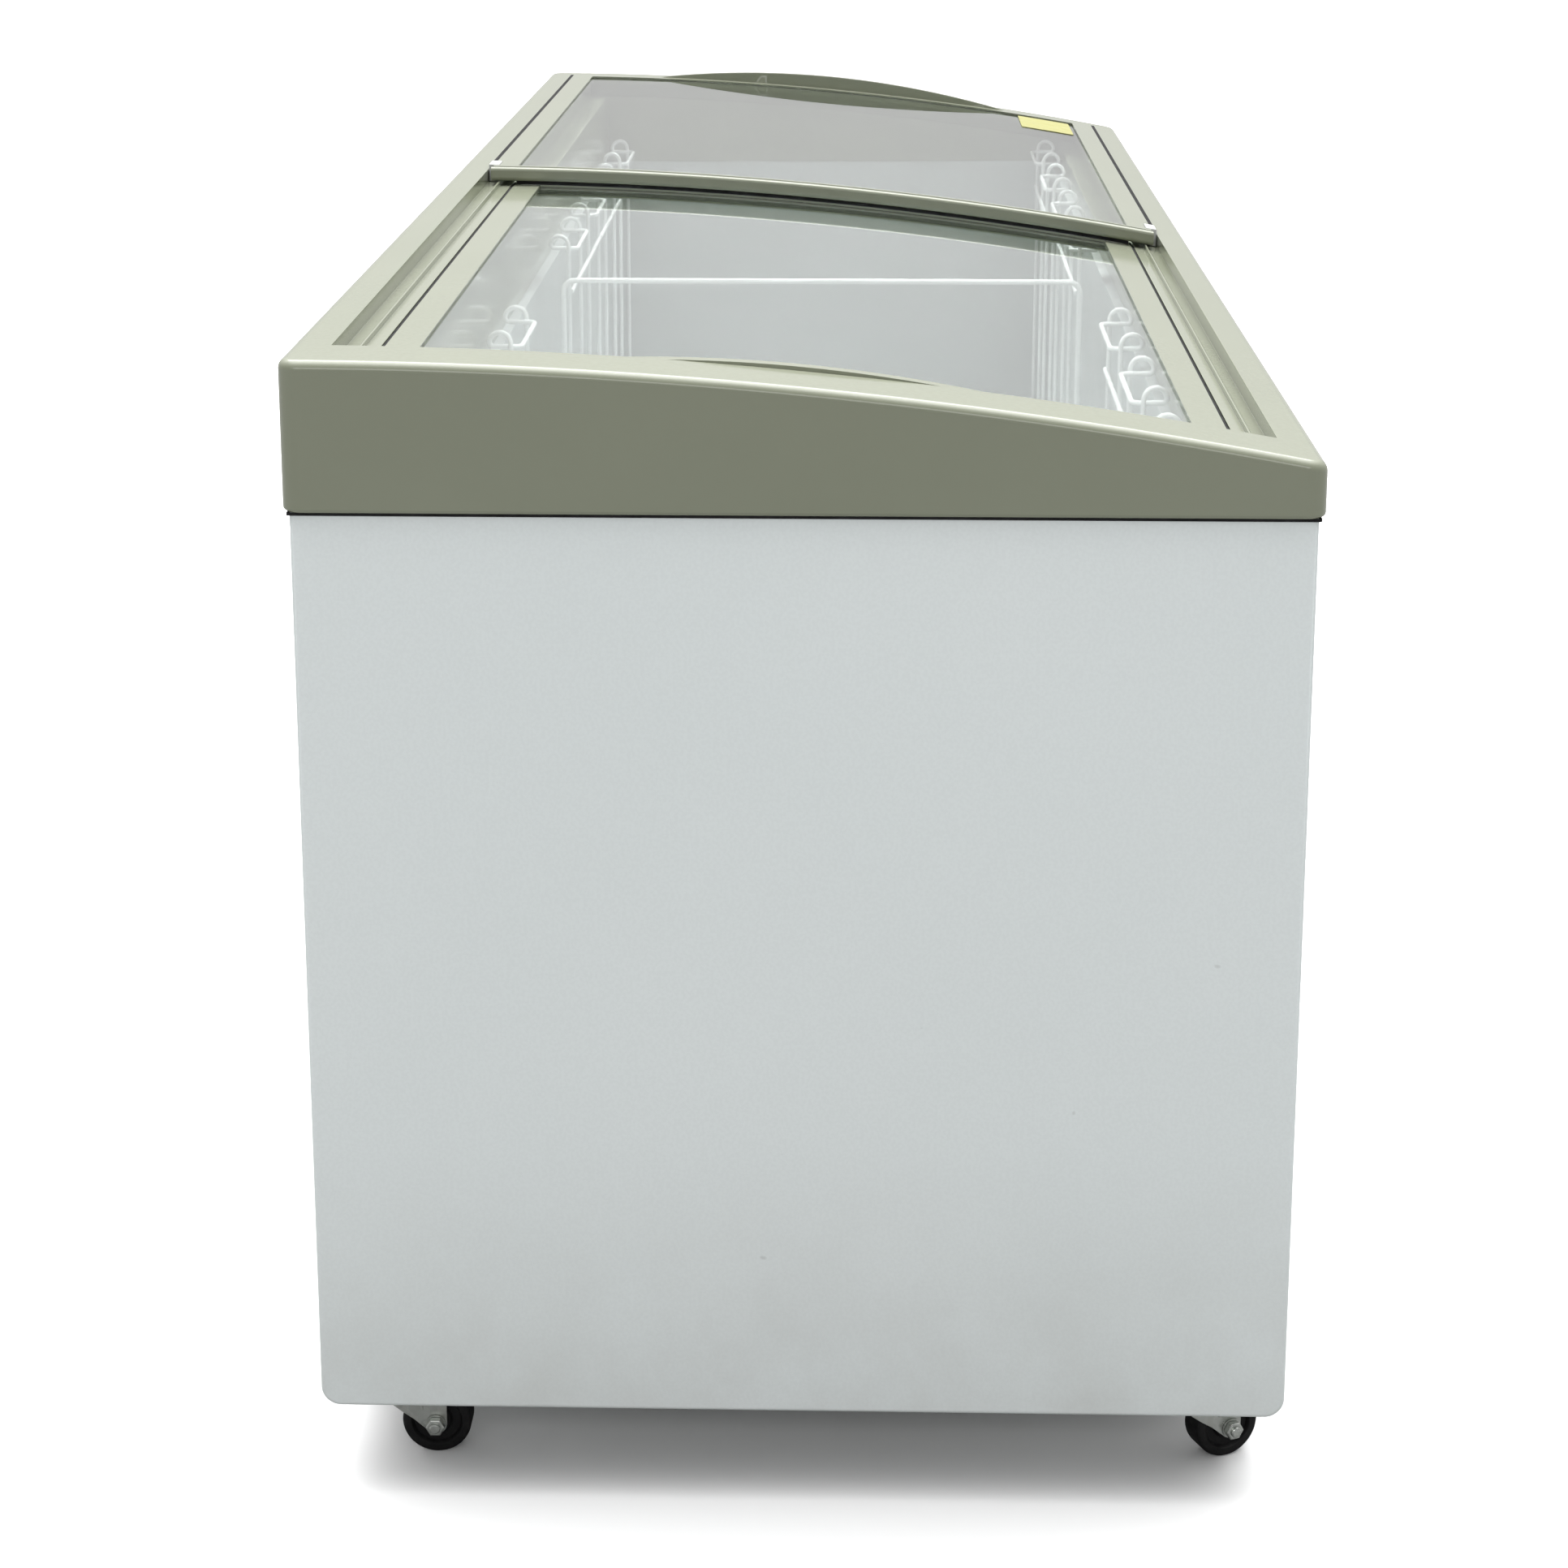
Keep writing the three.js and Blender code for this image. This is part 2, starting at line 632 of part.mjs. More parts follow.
function clipNotch(side) {
  const y = [CLIP.inner - GAP, CLIP.outer + OVER];
  const [y0, y1] = side > 0 ? y : [-y[1], -y[0]];
  return box(CLIP.x0 - GAP, CLIP.x1 + GAP, y0, y1, FRONT_TOP - OVER * 4, REAR_TOP + OVER * 4);
}

function slideClip(side) {
  const [y0, y1] = side > 0 ? [CLIP.inner, CLIP.outer] : [-CLIP.outer, -CLIP.inner];
  return curvedPlate(y0, y1, CLIP.bottom, CLIP.top, CLIP.x0, CLIP.x1, 1);
}

function addUpperLid() {
  const bars = [LID_INNER_BAR, LID_END_BAR];
  const grip = crescentGrip(UPPER_LID.top, UPPER_LID.x1 - GRIP_THICKNESS);
  const frame = cut(join(lidFrame(UPPER_LID, bars), grip), clipNotch(1), clipNotch(-1));
  add('upper_lid_frame', frame, MATERIALS.olive);
  add('upper_lid_glass', lidGlass(UPPER_LID, bars), MATERIALS.glass);
  const handle = curvedPlate(
    -HANDLE.half, HANDLE.half, HANDLE.bottom, HANDLE.top, HANDLE.x0, HANDLE.x1 - GAP,
  );
  add('upper_lid_handle', handle, MATERIALS.olive);
  const seal = curvedPlate(-SEAL.half, SEAL.half, SEAL.bottom, SEAL.top, SEAL.x0, SEAL.x1);
  add('upper_lid_seal', seal, MATERIALS.black);
  add('upper_lid_clip_front', slideClip(-1), MATERIALS.wire);
  add('upper_lid_clip_rear', slideClip(1), MATERIALS.wire);
  const labelBottom = UPPER_LID.top - GLASS_BELOW_TOP + GAP;
  const label = curvedPlate(
    LABEL.y0, LABEL.y1, labelBottom, labelBottom + LABEL.thickness, LABEL.x0, LABEL.x1, 2,
  );
  add('upper_lid_label', label, MATERIALS.yellow);
}

// ---- Wire racks ----

// One wire: up the wall, over in an arch, in and along the rim as a U, and back the same way.
function rackLoop(side, x, floor) {
  const wallSide = LEG + 2 * ARCH_RADIUS;
  const shift = WIRE + 1;
  const steps = 3;
  const archPoints = arc(LEG + ARCH_RADIUS, RIM_LEVEL, ARCH_RADIUS, 180, 0, steps);
  const low = RIM_LEVEL - 3;
  const bend = 5;
  const half = [
    [x - shift, LEG, floor],
    ...archPoints.map(([d, z], i) => [x - shift + (shift * i) / steps, d, z]),
    [x, wallSide - 3, low],
    [x, LOOP_INNER + bend, low],
    [x + bend, LOOP_INNER, low],
  ];
  const mirrored = half.map(([px, d, z]) => [2 * x + LOOP_LENGTH - px, d, z]).reverse();
  return wireThrough([...half, ...mirrored].map(([px, d, z]) => [px, side * d, z]), WIRE);
}

function runner(side, x0, x1, z) {
  const d = LEG - WIRE / 2 - 0.6;
  return wireThrough([[x0, side * d, z], [x1, side * d, z]], WIRE);
}

function rack(side, { start, loops }) {
  const pieces = [];
  const low = start - 8;
  const high = start + LOOP_PITCH * (loops - 1) + LOOP_LENGTH + 8;
  for (let i = 0; i < loops; i += 1) {
    const x = start + LOOP_PITCH * i;
    const floor = x + LOOP_LENGTH > STEP_X - 20 ? STEP_FLOOR + 6 : RACK_FLOOR;
    pieces.push(rackLoop(side, x, floor));
  }
  RUNNERS.forEach((z) => pieces.push(runner(side, low, high, z)));
  pieces.push(runner(side, low, Math.min(high, STEP_X - 12), FOOT_RUNNER));
  return join(...pieces);
}

// A wire rail across the tank, bent down at both ends to stand on the tank floor.
function crossRail() {
  const half = LEG - 10;
  const top = RIM_LEVEL - 6;
  const leg = [
    [CROSS_RAIL_X, half, RACK_FLOOR],
    [CROSS_RAIL_X, half, top - 10],
    [CROSS_RAIL_X, half - 3, top - 3],
    [CROSS_RAIL_X, half - 10, top],
  ];
  const other = leg.map(([x, y, z]) => [x, -y, z]).reverse();
  return wireThrough([...leg, ...other], CROSS_RAIL_WIRE, 8);
}

function addWirework() {
  for (const [place, spread] of Object.entries(RACKS)) {
    add(`wire_rack_front_${place}`, rack(-1, spread), MATERIALS.wire);
    add(`wire_rack_rear_${place}`, rack(1, spread), MATERIALS.wire);
  }
  add('wire_cross_rail', crossRail(), MATERIALS.wire);
}

// ---- Vents and controls ----

function ventGrille(side) {
  const face = BODY_HALF_WIDTH + GAP;
  const [y0, y1] = side > 0 ? [face, face + VENT_PROUD] : [-face - VENT_PROUD, -face];
  const plate = box(
    VENT.x0 - VENT_OVERLAP, VENT.x1 + VENT_OVERLAP, y0, y1,
    VENT.z0 - VENT_OVERLAP, VENT.z1 + VENT_OVERLAP,
  );
  const pitch = (VENT.z1 - VENT.z0) / VENT.slots;
  const slotEnd = side > 0 ? VENT.x1 - 12 : VENT.x1 - 52;
  const slots = Array.from({ length: VENT.slots }, (_, i) => {
    const z = VENT.z0 + pitch * (i + 0.5);
    return box(VENT.x0 + 12, slotEnd, y0 - OVER, y1 + OVER, z - pitch * 0.25, z + pitch * 0.25);
  });
  return cut(plate, ...slots);
}

// The controls sit in a cup behind the front grille, level with its face.
function controlHoles() {
  const y0 = -HALF_WIDTH - OVER;
  return [
    bar('y', KNOB.radius + 3, y0, -BODY_HALF_WIDTH + OVER, [KNOB.x, 0, KNOB.z]),
    bar('y', LAMP.radius + GAP, y0, -BODY_HALF_WIDTH + OVER, [LAMP.x, 0, LAMP.z]),
  ];
}

function thermostatBody() {
  const { half, halfHeight } = THERMOSTAT;
  const back = -BODY_HALF_WIDTH + THERMOSTAT.back;
  const front = -BODY_HALF_WIDTH + THERMOSTAT.front;
  const spindle = bar('y', KNOB.spindle, front - 6, front + OVER, [KNOB.x, 0, KNOB.z], 12);
  return join(
    box(KNOB.x - half, KNOB.x + half, front, back, KNOB.z - halfHeight, KNOB.z + halfHeight),
    spindle,
  );
}

function thermostatKnob() {
  const { x, z, radius, ridge } = KNOB;
  const front = -BODY_HALF_WIDTH - KNOB.proud;
  const back = -BODY_HALF_WIDTH + KNOB.depth;
  const bore = bar('y', KNOB.spindle + GAP, back - 6, back + OVER, [x, 0, z], 12);
  const skirt = bar('y', radius, front + 3, back, [x, 0, z], 32);
  const grip = box(x - ridge, x + ridge, front, front + OVER, z - radius + 3, z + radius - 3);
  return cut(join(skirt, grip), bore);
}

function mainsGland() {
  const face = BODY_HALF_WIDTH;
  return join(
    bar('y', INLET.radius, face - INLET.depth, face + 2, [INLET.x, 0, INLET.z]),
    bar('y', INLET.radius + INLET.nut, face + GAP, face + 4, [INLET.x, 0, INLET.z], 6),
  );
}

function pilotLamp() {
  const face = -BODY_HALF_WIDTH;
  return bar('y', LAMP.radius, face - LAMP.proud, face + LAMP.depth, [LAMP.x, 0, LAMP.z], 12);
}

function addFittings() {
  add('vent_grille_front', cut(ventGrille(-1), ...controlHoles()), MATERIALS.greyPlastic);
  add('vent_grille_rear', ventGrille(1), MATERIALS.greyPlastic);
  add('thermostat', thermostatBody(), MATERIALS.greyPlastic);
  add('thermostat_knob', thermostatKnob(), MATERIALS.black);
  add('pilot_lamp', pilotLamp(), MATERIALS.lamp);
  add('mains_gland', mainsGland(), MATERIALS.black);
}

// ---- Refrigeration machine ----

// A welded shell on a foot plate, with its terminal box on the right.
function compressor() {
  const { radius, top, foot, footHeight } = COMPRESSOR;
  const floor = BODY_BOTTOM + SHEET + GAP;
  const plateTop = floor + footHeight + 2;
  const plateHalf = radius * 0.8;
  const shell = turned('z', [
    [0, floor + footHeight],
    [radius * 0.75, plateTop],
    [radius, floor + 40],
    [radius + 3, (floor + top) / 2],
    [radius, top - 34],
    [radius * 0.7, top - 6],
    [0, top],
  ], [0, 0, 0], 20);
  const plate = box(
    -radius, radius, -plateHalf, plateHalf, plateTop - COMPRESSOR.plate, plateTop,
  );
  const feet = [-1, 1].flatMap((i) => [-1, 1].map((j) => (
    bar('z', foot, floor, floor + footHeight, [i * (radius - 12), j * (plateHalf - 12), 0], 12)
  )));
  const { depth, half, z0, z1 } = TERMINAL_BOX;
  const terminalBox = box(radius - 8, radius - 8 + depth, -half, half, z0, z1);
  return join(shell, plate, ...feet, terminalBox);
}

// Flat fins pierced by a bundle of tubes.
function condenser() {
  const { y0, y1, z0, z1, finPitch, tubePitch, tube } = CONDENSER;
  const [x0, x1] = [VENT.x0 + 12, VENT.x1 - 60];
  const count = Math.floor((x1 - x0) / finPitch);
  const fins = Array.from({ length: count + 1 }, (_, i) => (
    box(x0 + i * finPitch, x0 + i * finPitch + 1, y0, y1, z0, z1)
  ));
  const tubes = [];
  for (let z = z0 + tubePitch / 2 + 1; z < z1; z += tubePitch) {
    tubes.push(bar('x', tube, x0 - 6, x1 + 6, [0, (y0 + y1) / 2, z], 6));
  }
  const floor = BODY_BOTTOM + SHEET + GAP;
  const foot = box(x0, x0 + count * finPitch + 1, y0 + 4, y1 - 4, floor, z0 + 4);
  return join(foot, ...fins, ...tubes);
}

// A sheet with a short duct round the fan.
function fanShroud() {
  const { half, top, behind, sheet, rim, depth } = SHROUD;
  const bore = FAN.radius + FAN.tip;
  const back = FAN.y - behind - 8;
  const front = back + depth + 2;
  const centre = [FAN.x, 0, FAN.z];
  const plate = box(
    FAN.x - half, FAN.x + half, back, back + sheet, BODY_BOTTOM + SHEET + GAP, top,
  );
  const opening = bar('y', bore, back - OVER, front + OVER, centre, 32);
  return cut(join(plate, bar('y', bore + rim, back, front, centre, 32)), opening);
}

function fanMotor() {
  const { radius, shaft, bracket } = FAN_MOTOR;
  const front = FAN.y + FAN_MOTOR.front;
  const rear = FAN.y + FAN_MOTOR.rear;
  const centre = [FAN.x, 0, FAN.z];
  const floor = BODY_BOTTOM + SHEET + GAP;
  return join(
    bar('y', radius, front, rear, centre, 20),
    bar('y', shaft, FAN.y - 4, front + 2, centre, 10),
    box(FAN.x - bracket, FAN.x + bracket, rear - 4, rear + 2, floor, FAN.z + bracket),
  );
}

function fanBlade() {
  const hub = bar('y', FAN.hub, -8, 10, [0, 0, 0], 16);
  const blades = Array.from({ length: FAN.blades }, (_, i) => {
    const blade = box(12, FAN.radius, -1, 1, -15, 15).rotateX(THREE.MathUtils.degToRad(FAN.pitch));
    return blade.rotateY((2 * Math.PI * i) / FAN.blades);
  });
  const bore = bar('y', FAN_MOTOR.shaft + GAP, -12, 14, [0, 0, 0], 10);
  return cut(join(hub, ...blades), bore);
}

function filterDrier() {
  const { x, y, z0, z1, radius, tube, neck, cone } = DRIER;
  return turned('z', [
    [0, z0],
    [tube, z0],
    [tube, z0 + neck],
    [radius, z0 + neck + cone],
    [radius, z1 - neck - cone],
    [tube, z1 - neck],
    [tube, z1],
    [0, z1],
  ], [x, y, 0], 16);
}

// From the compressor's shell over to the condenser.
function dischargeTube() {
  return wireThrough([
    [636, 150, 264], [630, 135, 280], [618, 100, 284], [612, 20, 284], [608, -120, 284],
    [602, -228, 284], [600, -244, 276], [600, -250, 262], [600, -250, 140],
  ], 7, 8);
}

function addMachine() {
  add('compressor', compressor(), MATERIALS.darkSteel, [COMPRESSOR.x, COMPRESSOR.y, 0]);
  add('condenser', condenser(), MATERIALS.zinc);
  add('fan_shroud', fanShroud(), MATERIALS.zinc);
  add('fan_motor', fanMotor(), MATERIALS.darkSteel);
  add('fan_blade', fanBlade(), MATERIALS.greyPlastic, [FAN.x, FAN.y, FAN.z]);
  add('filter_drier', filterDrier(), MATERIALS.copper);
  add('discharge_tube', dischargeTube(), MATERIALS.copper);
}

// ---- Casters ----

const FORK_INNER = WHEEL_WIDTH / 2 + 2;
const FORK_OUTER = FORK_INNER + 2.5;
const PLATE_TOP = BODY_BOTTOM - GAP;
const RACE_BOTTOM = 60;
const AXLE = [0, -TRAIL, WHEEL_RADIUS];

function casterPlate() {
  const half = CASTER_PLATE / 2;
  return join(
    alongZ(roundedRectangle(-half, half, -half, half, 6, 3), PLATE_TOP - 3, PLATE_TOP),
    bar('z', 21, RACE_BOTTOM, PLATE_TOP - 1, [0, 0, 0]),
  );
}

function casterFork() {
  const crownTop = RACE_BOTTOM - GAP;
  const crown = join(
    bar('z', 19, crownTop - 4, crownTop, [0, 0, 0]),
    box(-FORK_OUTER, FORK_OUTER, -24, 16, crownTop - 4, crownTop - 1),
  );
  const legOutline = [
    [16, crownTop - 1],
    [-24, crownTop - 1],
    ...arc(-TRAIL, WHEEL_RADIUS, 9, 160, 320, 6),
  ];
  const legs = [
    alongX(legOutline, FORK_INNER, FORK_OUTER),
    alongX(legOutline, -FORK_OUTER, -FORK_INNER),
  ];
  return cut(join(crown, ...legs), bar('x', AXLE_RADIUS + GAP, -30, 30, AXLE, 12));
}

function casterAxle() {
  const side = FORK_OUTER + GAP;
  return join(
    bar('x', AXLE_RADIUS, -side - 8, side + 3, AXLE, 12),
    bar('x', 7, -side - 6, -side, AXLE, 6),
    bar('x', 7, side, side + 5, AXLE, 6),
  );
}

function casterWheel() {
  const half = WHEEL_WIDTH / 2;
  const bore = AXLE_RADIUS + GAP;
  return turned('x', [
    [bore, -half - 1],
    [10, -half - 1],
    [11, -half + 3],
    [17, -half + 3],
    [19, -half],
    [WHEEL_RADIUS - 2, -half],
    [WHEEL_RADIUS, -half + 3],
    [WHEEL_RADIUS, half - 3],
    [WHEEL_RADIUS - 2, half],
    [19, half],
    [17, half - 3],
    [11, half - 3],
    [10, half + 1],
    [bore, half + 1],
    [bore, -half - 1],
  ], AXLE, 20);
}

function addCasters() {
  const corners = {
    front_left: [-1, -1], front_right: [1, -1], rear_left: [-1, 1], rear_right: [1, 1],
  };
  for (const [corner, [i, j]] of Object.entries(corners)) {
    const place = [i * CASTER_X, j * CASTER_Y, 0];
    const turn = THREE.MathUtils.degToRad(CASTER_TURN[corner] ?? 0);
    add(`caster_plate_${corner}`, casterPlate(), MATERIALS.zinc, place);
    add(`caster_fork_${corner}`, casterFork(), MATERIALS.zinc, place, turn);
    add(`caster_axle_${corner}`, casterAxle(), MATERIALS.zinc, place, turn);
    add(`caster_wheel_${corner}`, casterWheel(), MATERIALS.black, place, turn);
  }
}

addBody();
addTank();
addCollar();
addLowerLid();
addUpperLid();
addWirework();
addFittings();
addMachine();
addCasters();

export default freezer;
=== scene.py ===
import json
import math

import bmesh
import bpy
from mathutils import Matrix, Vector


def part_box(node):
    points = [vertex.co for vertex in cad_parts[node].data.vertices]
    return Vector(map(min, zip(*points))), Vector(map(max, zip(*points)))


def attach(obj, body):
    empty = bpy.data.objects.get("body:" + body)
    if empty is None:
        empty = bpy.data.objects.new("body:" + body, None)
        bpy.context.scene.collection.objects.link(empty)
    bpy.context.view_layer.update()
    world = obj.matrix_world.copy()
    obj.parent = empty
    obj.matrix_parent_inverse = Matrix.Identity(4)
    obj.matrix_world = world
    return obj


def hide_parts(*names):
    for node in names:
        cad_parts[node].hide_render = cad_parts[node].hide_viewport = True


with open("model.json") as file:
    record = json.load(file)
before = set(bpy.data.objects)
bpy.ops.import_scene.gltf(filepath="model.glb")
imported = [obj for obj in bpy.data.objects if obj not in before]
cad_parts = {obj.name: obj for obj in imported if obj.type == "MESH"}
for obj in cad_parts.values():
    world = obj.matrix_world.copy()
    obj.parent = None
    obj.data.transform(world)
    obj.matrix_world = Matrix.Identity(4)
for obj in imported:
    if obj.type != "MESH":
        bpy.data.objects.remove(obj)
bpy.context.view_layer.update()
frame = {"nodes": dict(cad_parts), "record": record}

# A display chest freezer with two curved glass lids that slide on two levels.
# Metres. +X runs along the freezer, -Y is the customer side, +Z is up.

SCENE = bpy.context.scene
MM = 0.001

# ---- Camera ----

CAMERA_PLACE = Vector((-2.890, -0.040, 1.208))
CAMERA_PITCH = math.radians(13.1)
CAMERA_YAW = math.radians(1.5)
SENSOR = 36.0
LENS = 71.6
SHIFT_UP = -0.20


def add_camera():
    data = bpy.data.cameras.new("camera")
    data.sensor_width = SENSOR
    data.lens = LENS
    data.shift_y = SHIFT_UP
    data.clip_end = 200.0
    camera = bpy.data.objects.new("camera", data)
    camera.location = CAMERA_PLACE
    level = math.cos(CAMERA_PITCH)
    forward = Vector((level * math.cos(CAMERA_YAW), level * math.sin(CAMERA_YAW), -math.sin(CAMERA_PITCH)))
    camera.rotation_euler = forward.to_track_quat("-Z", "Y").to_euler()
    SCENE.collection.objects.link(camera)
    SCENE.camera = camera


# ---- Sizes, from the frame ----

CHEEK_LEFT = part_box("collar_cheek_left")
CHEEK_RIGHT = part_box("collar_cheek_right")
RAIL_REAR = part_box("collar_rail_rear")
END_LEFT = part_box("end_panel_left")
PANEL_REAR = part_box("rear_panel")
LOWER_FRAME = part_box("lower_lid_frame")
UPPER_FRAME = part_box("upper_lid_frame")
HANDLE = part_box("upper_lid_handle")
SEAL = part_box("upper_lid_seal")
CLIP_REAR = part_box("upper_lid_clip_rear")
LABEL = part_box("upper_lid_label")

HALF_LENGTH = CHEEK_RIGHT[1].x
HALF_WIDTH = CHEEK_RIGHT[1].y
COLLAR_BOTTOM = CHEEK_LEFT[0].z
REAR_TOP = CHEEK_LEFT[1].z
FRONT_TOP = 754 * MM
CHEEK_INNER = RAIL_REAR[1].x
THROAT_HALF = RAIL_REAR[0].y
BODY_HALF_LENGTH = -END_LEFT[0].x
BODY_HALF_WIDTH = END_LEFT[1].y
BODY_BOTTOM = END_LEFT[0].z
BODY_TOP = END_LEFT[1].z
END_RIM = END_LEFT[1].x - END_LEFT[0].x

# Collar section, as heights under the lid cylinder and distances from the centre plane.
LAND_INNER = 314.6 * MM
TRACK_DEPTH = 12 * MM
RIB = (301 * MM, 303 * MM)
RIB_TOP = -8 * MM
STEP_EDGE = 291 * MM
SHELF_DEPTH = 25.3 * MM
TANK_HALF_LENGTH = 853 * MM
TANK_HALF_WIDTH = 262 * MM
COLLAR_CORNER = 14 * MM
TOP_FILLET = 6.5 * MM
PANEL_CORNER = 14 * MM
SHEET = 1 * MM

LOWER_TOP = -11.5 * MM
LOWER_BOTTOM = -25 * MM
LOWER_INNER = 264 * MM
UPPER_TOP = 4 * MM
UPPER_BOTTOM = -7.7 * MM
UPPER_INNER = 286 * MM
END_BAR = 24 * MM
THIN_BAR = 6 * MM
GLASS_BELOW_TOP = 2 * MM
GLASS_THICKNESS = 4 * MM
GLASS_GRIP = 6 * MM
CLEARANCE = 0.3 * MM
GRIP_HALF = 205 * MM
GRIP_HEIGHT = 14 * MM
GRIP_THICKNESS = 10 * MM
HANDLE_TOP = 5 * MM
CLIP_BOTTOM = -11.7 * MM
# Black pile strips beside the lids: seals, and partly painted shade that darkens the gaps.
LOWER_PILE_AND_SHADE = (287.8 * MM, 290.4 * MM)
UPPER_PILE_AND_SHADE = (308.6 * MM, 313.8 * MM)
PILE_AND_SHADE_BELOW_TOP = 0.6 * MM

DROP = REAR_TOP - FRONT_TOP
ARC_RADIUS = ((2 * HALF_WIDTH) ** 2 + DROP ** 2) / (2 * DROP)
ARC_CENTRE_Z = REAR_TOP - ARC_RADIUS


def surface_z(y, offset=0.0):
    """Height of the lid cylinder at y, moved out along its radius."""
    return ARC_CENTRE_Z + math.sqrt((ARC_RADIUS + offset) ** 2 - (y - HALF_WIDTH) ** 2)


# ---- Light and floor ----

NEAR_HORIZON = 0.34      # towards -X, which lights the near end panel
FAR_HORIZON = 0.60       # towards +X, which the glass and the tops mirror
CEILING_LIGHT = 7.5
CEILING_SPREAD = 5.0
CEILING_TILT = math.radians(75)     # the ceiling light's middle, as an elevation over +X
BACKDROP_LIGHT = 1.15
HORIZON_BLEND = (-0.3, 0.6)         # from the near horizon to the far one, as the view direction's x
FLOOR_REACH = 60.0
STRIPS = {
    # name: place, size, power
    "strip_front": ((-4.1, 0.0, 1.95), (3.6, 0.9), 30.0),
    "strip_over": ((1.2, 0.0, 3.2), (3.4, 0.8), 43.0),
}


def add_world():
    """A soft studio: a brighter backdrop behind the far end, a dimmer one in front, a light ceiling."""
    world = bpy.data.worlds.new("studio")
    world.use_nodes = True
    SCENE.world = world
    nodes, links = world.node_tree.nodes, world.node_tree.links
    nodes.clear()

    def math_node(operation, source, value):
        node = nodes.new("ShaderNodeMath")
        node.operation = operation
        node.inputs[1].default_value = value
        links.new(source, node.inputs[0])
        return node

    place = nodes.new("ShaderNodeTexCoord").outputs["Generated"]
    split = nodes.new("ShaderNodeSeparateXYZ")
    links.new(place, split.inputs[0])
    horizon = nodes.new("ShaderNodeMapRange")
    horizon.interpolation_type = "SMOOTHSTEP"
    horizon.inputs["From Min"].default_value = HORIZON_BLEND[0]
    horizon.inputs["From Max"].default_value = HORIZON_BLEND[1]
    horizon.inputs["To Min"].default_value = NEAR_HORIZON
    horizon.inputs["To Max"].default_value = FAR_HORIZON
    links.new(split.outputs["X"], horizon.inputs["Value"])
    facing = nodes.new("ShaderNodeVectorMath")
    facing.operation = "DOT_PRODUCT"
    facing.inputs[1].default_value = (math.cos(CEILING_TILT), 0.0, math.sin(CEILING_TILT))
    links.new(place, facing.inputs[0])
    above = math_node("MAXIMUM", facing.outputs["Value"], 0.0)
    narrow = math_node("POWER", above.outputs[0], CEILING_SPREAD)
    level = math_node("MULTIPLY_ADD", narrow.outputs[0], CEILING_LIGHT)
    links.new(horizon.outputs["Result"], level.inputs[2])
    pick = nodes.new("ShaderNodeMix")
    pick.data_type = "FLOAT"
    pick.inputs["B"].default_value = BACKDROP_LIGHT
    links.new(level.outputs[0], pick.inputs["A"])
    links.new(nodes.new("ShaderNodeLightPath").outputs["Is Camera Ray"], pick.inputs["Factor"])
    glow = nodes.new("ShaderNodeBackground")
    glow.inputs["Color"].default_value = (1.0, 1.0, 1.0, 1.0)
    links.new(pick.outputs["Result"], glow.inputs["Strength"])
    links.new(glow.outputs[0], nodes.new("ShaderNodeOutputWorld").inputs[0])


def add_lights():
    """Long soft boxes that draw highlight lines along the collar's rounded edges."""
    target = Vector((-HALF_LENGTH, 0.0, REAR_TOP))
    for name, (place, size, power) in STRIPS.items():
        data = bpy.data.lights.new(name, "AREA")
        data.shape = "RECTANGLE"
        data.size, data.size_y = size
        data.energy = power
        light = bpy.data.objects.new(name, data)
        light.location = place
        light.rotation_euler = (target - Vector(place)).to_track_quat("-Z", "Y").to_euler()
        light.visible_camera = False
        SCENE.collection.objects.link(light)


def add_floor():
    mesh = bpy.data.meshes.new("floor")
    far = FLOOR_REACH
    mesh.from_pydata([(-far, -far, 0), (far, -far, 0), (far, far, 0), (-far, far, 0)], [], [(0, 1, 2, 3)])
    floor = bpy.data.objects.new("floor", mesh)
    SCENE.collection.objects.link(floor)
    mesh.materials.append(studio_floor())


# ---- Materials ----

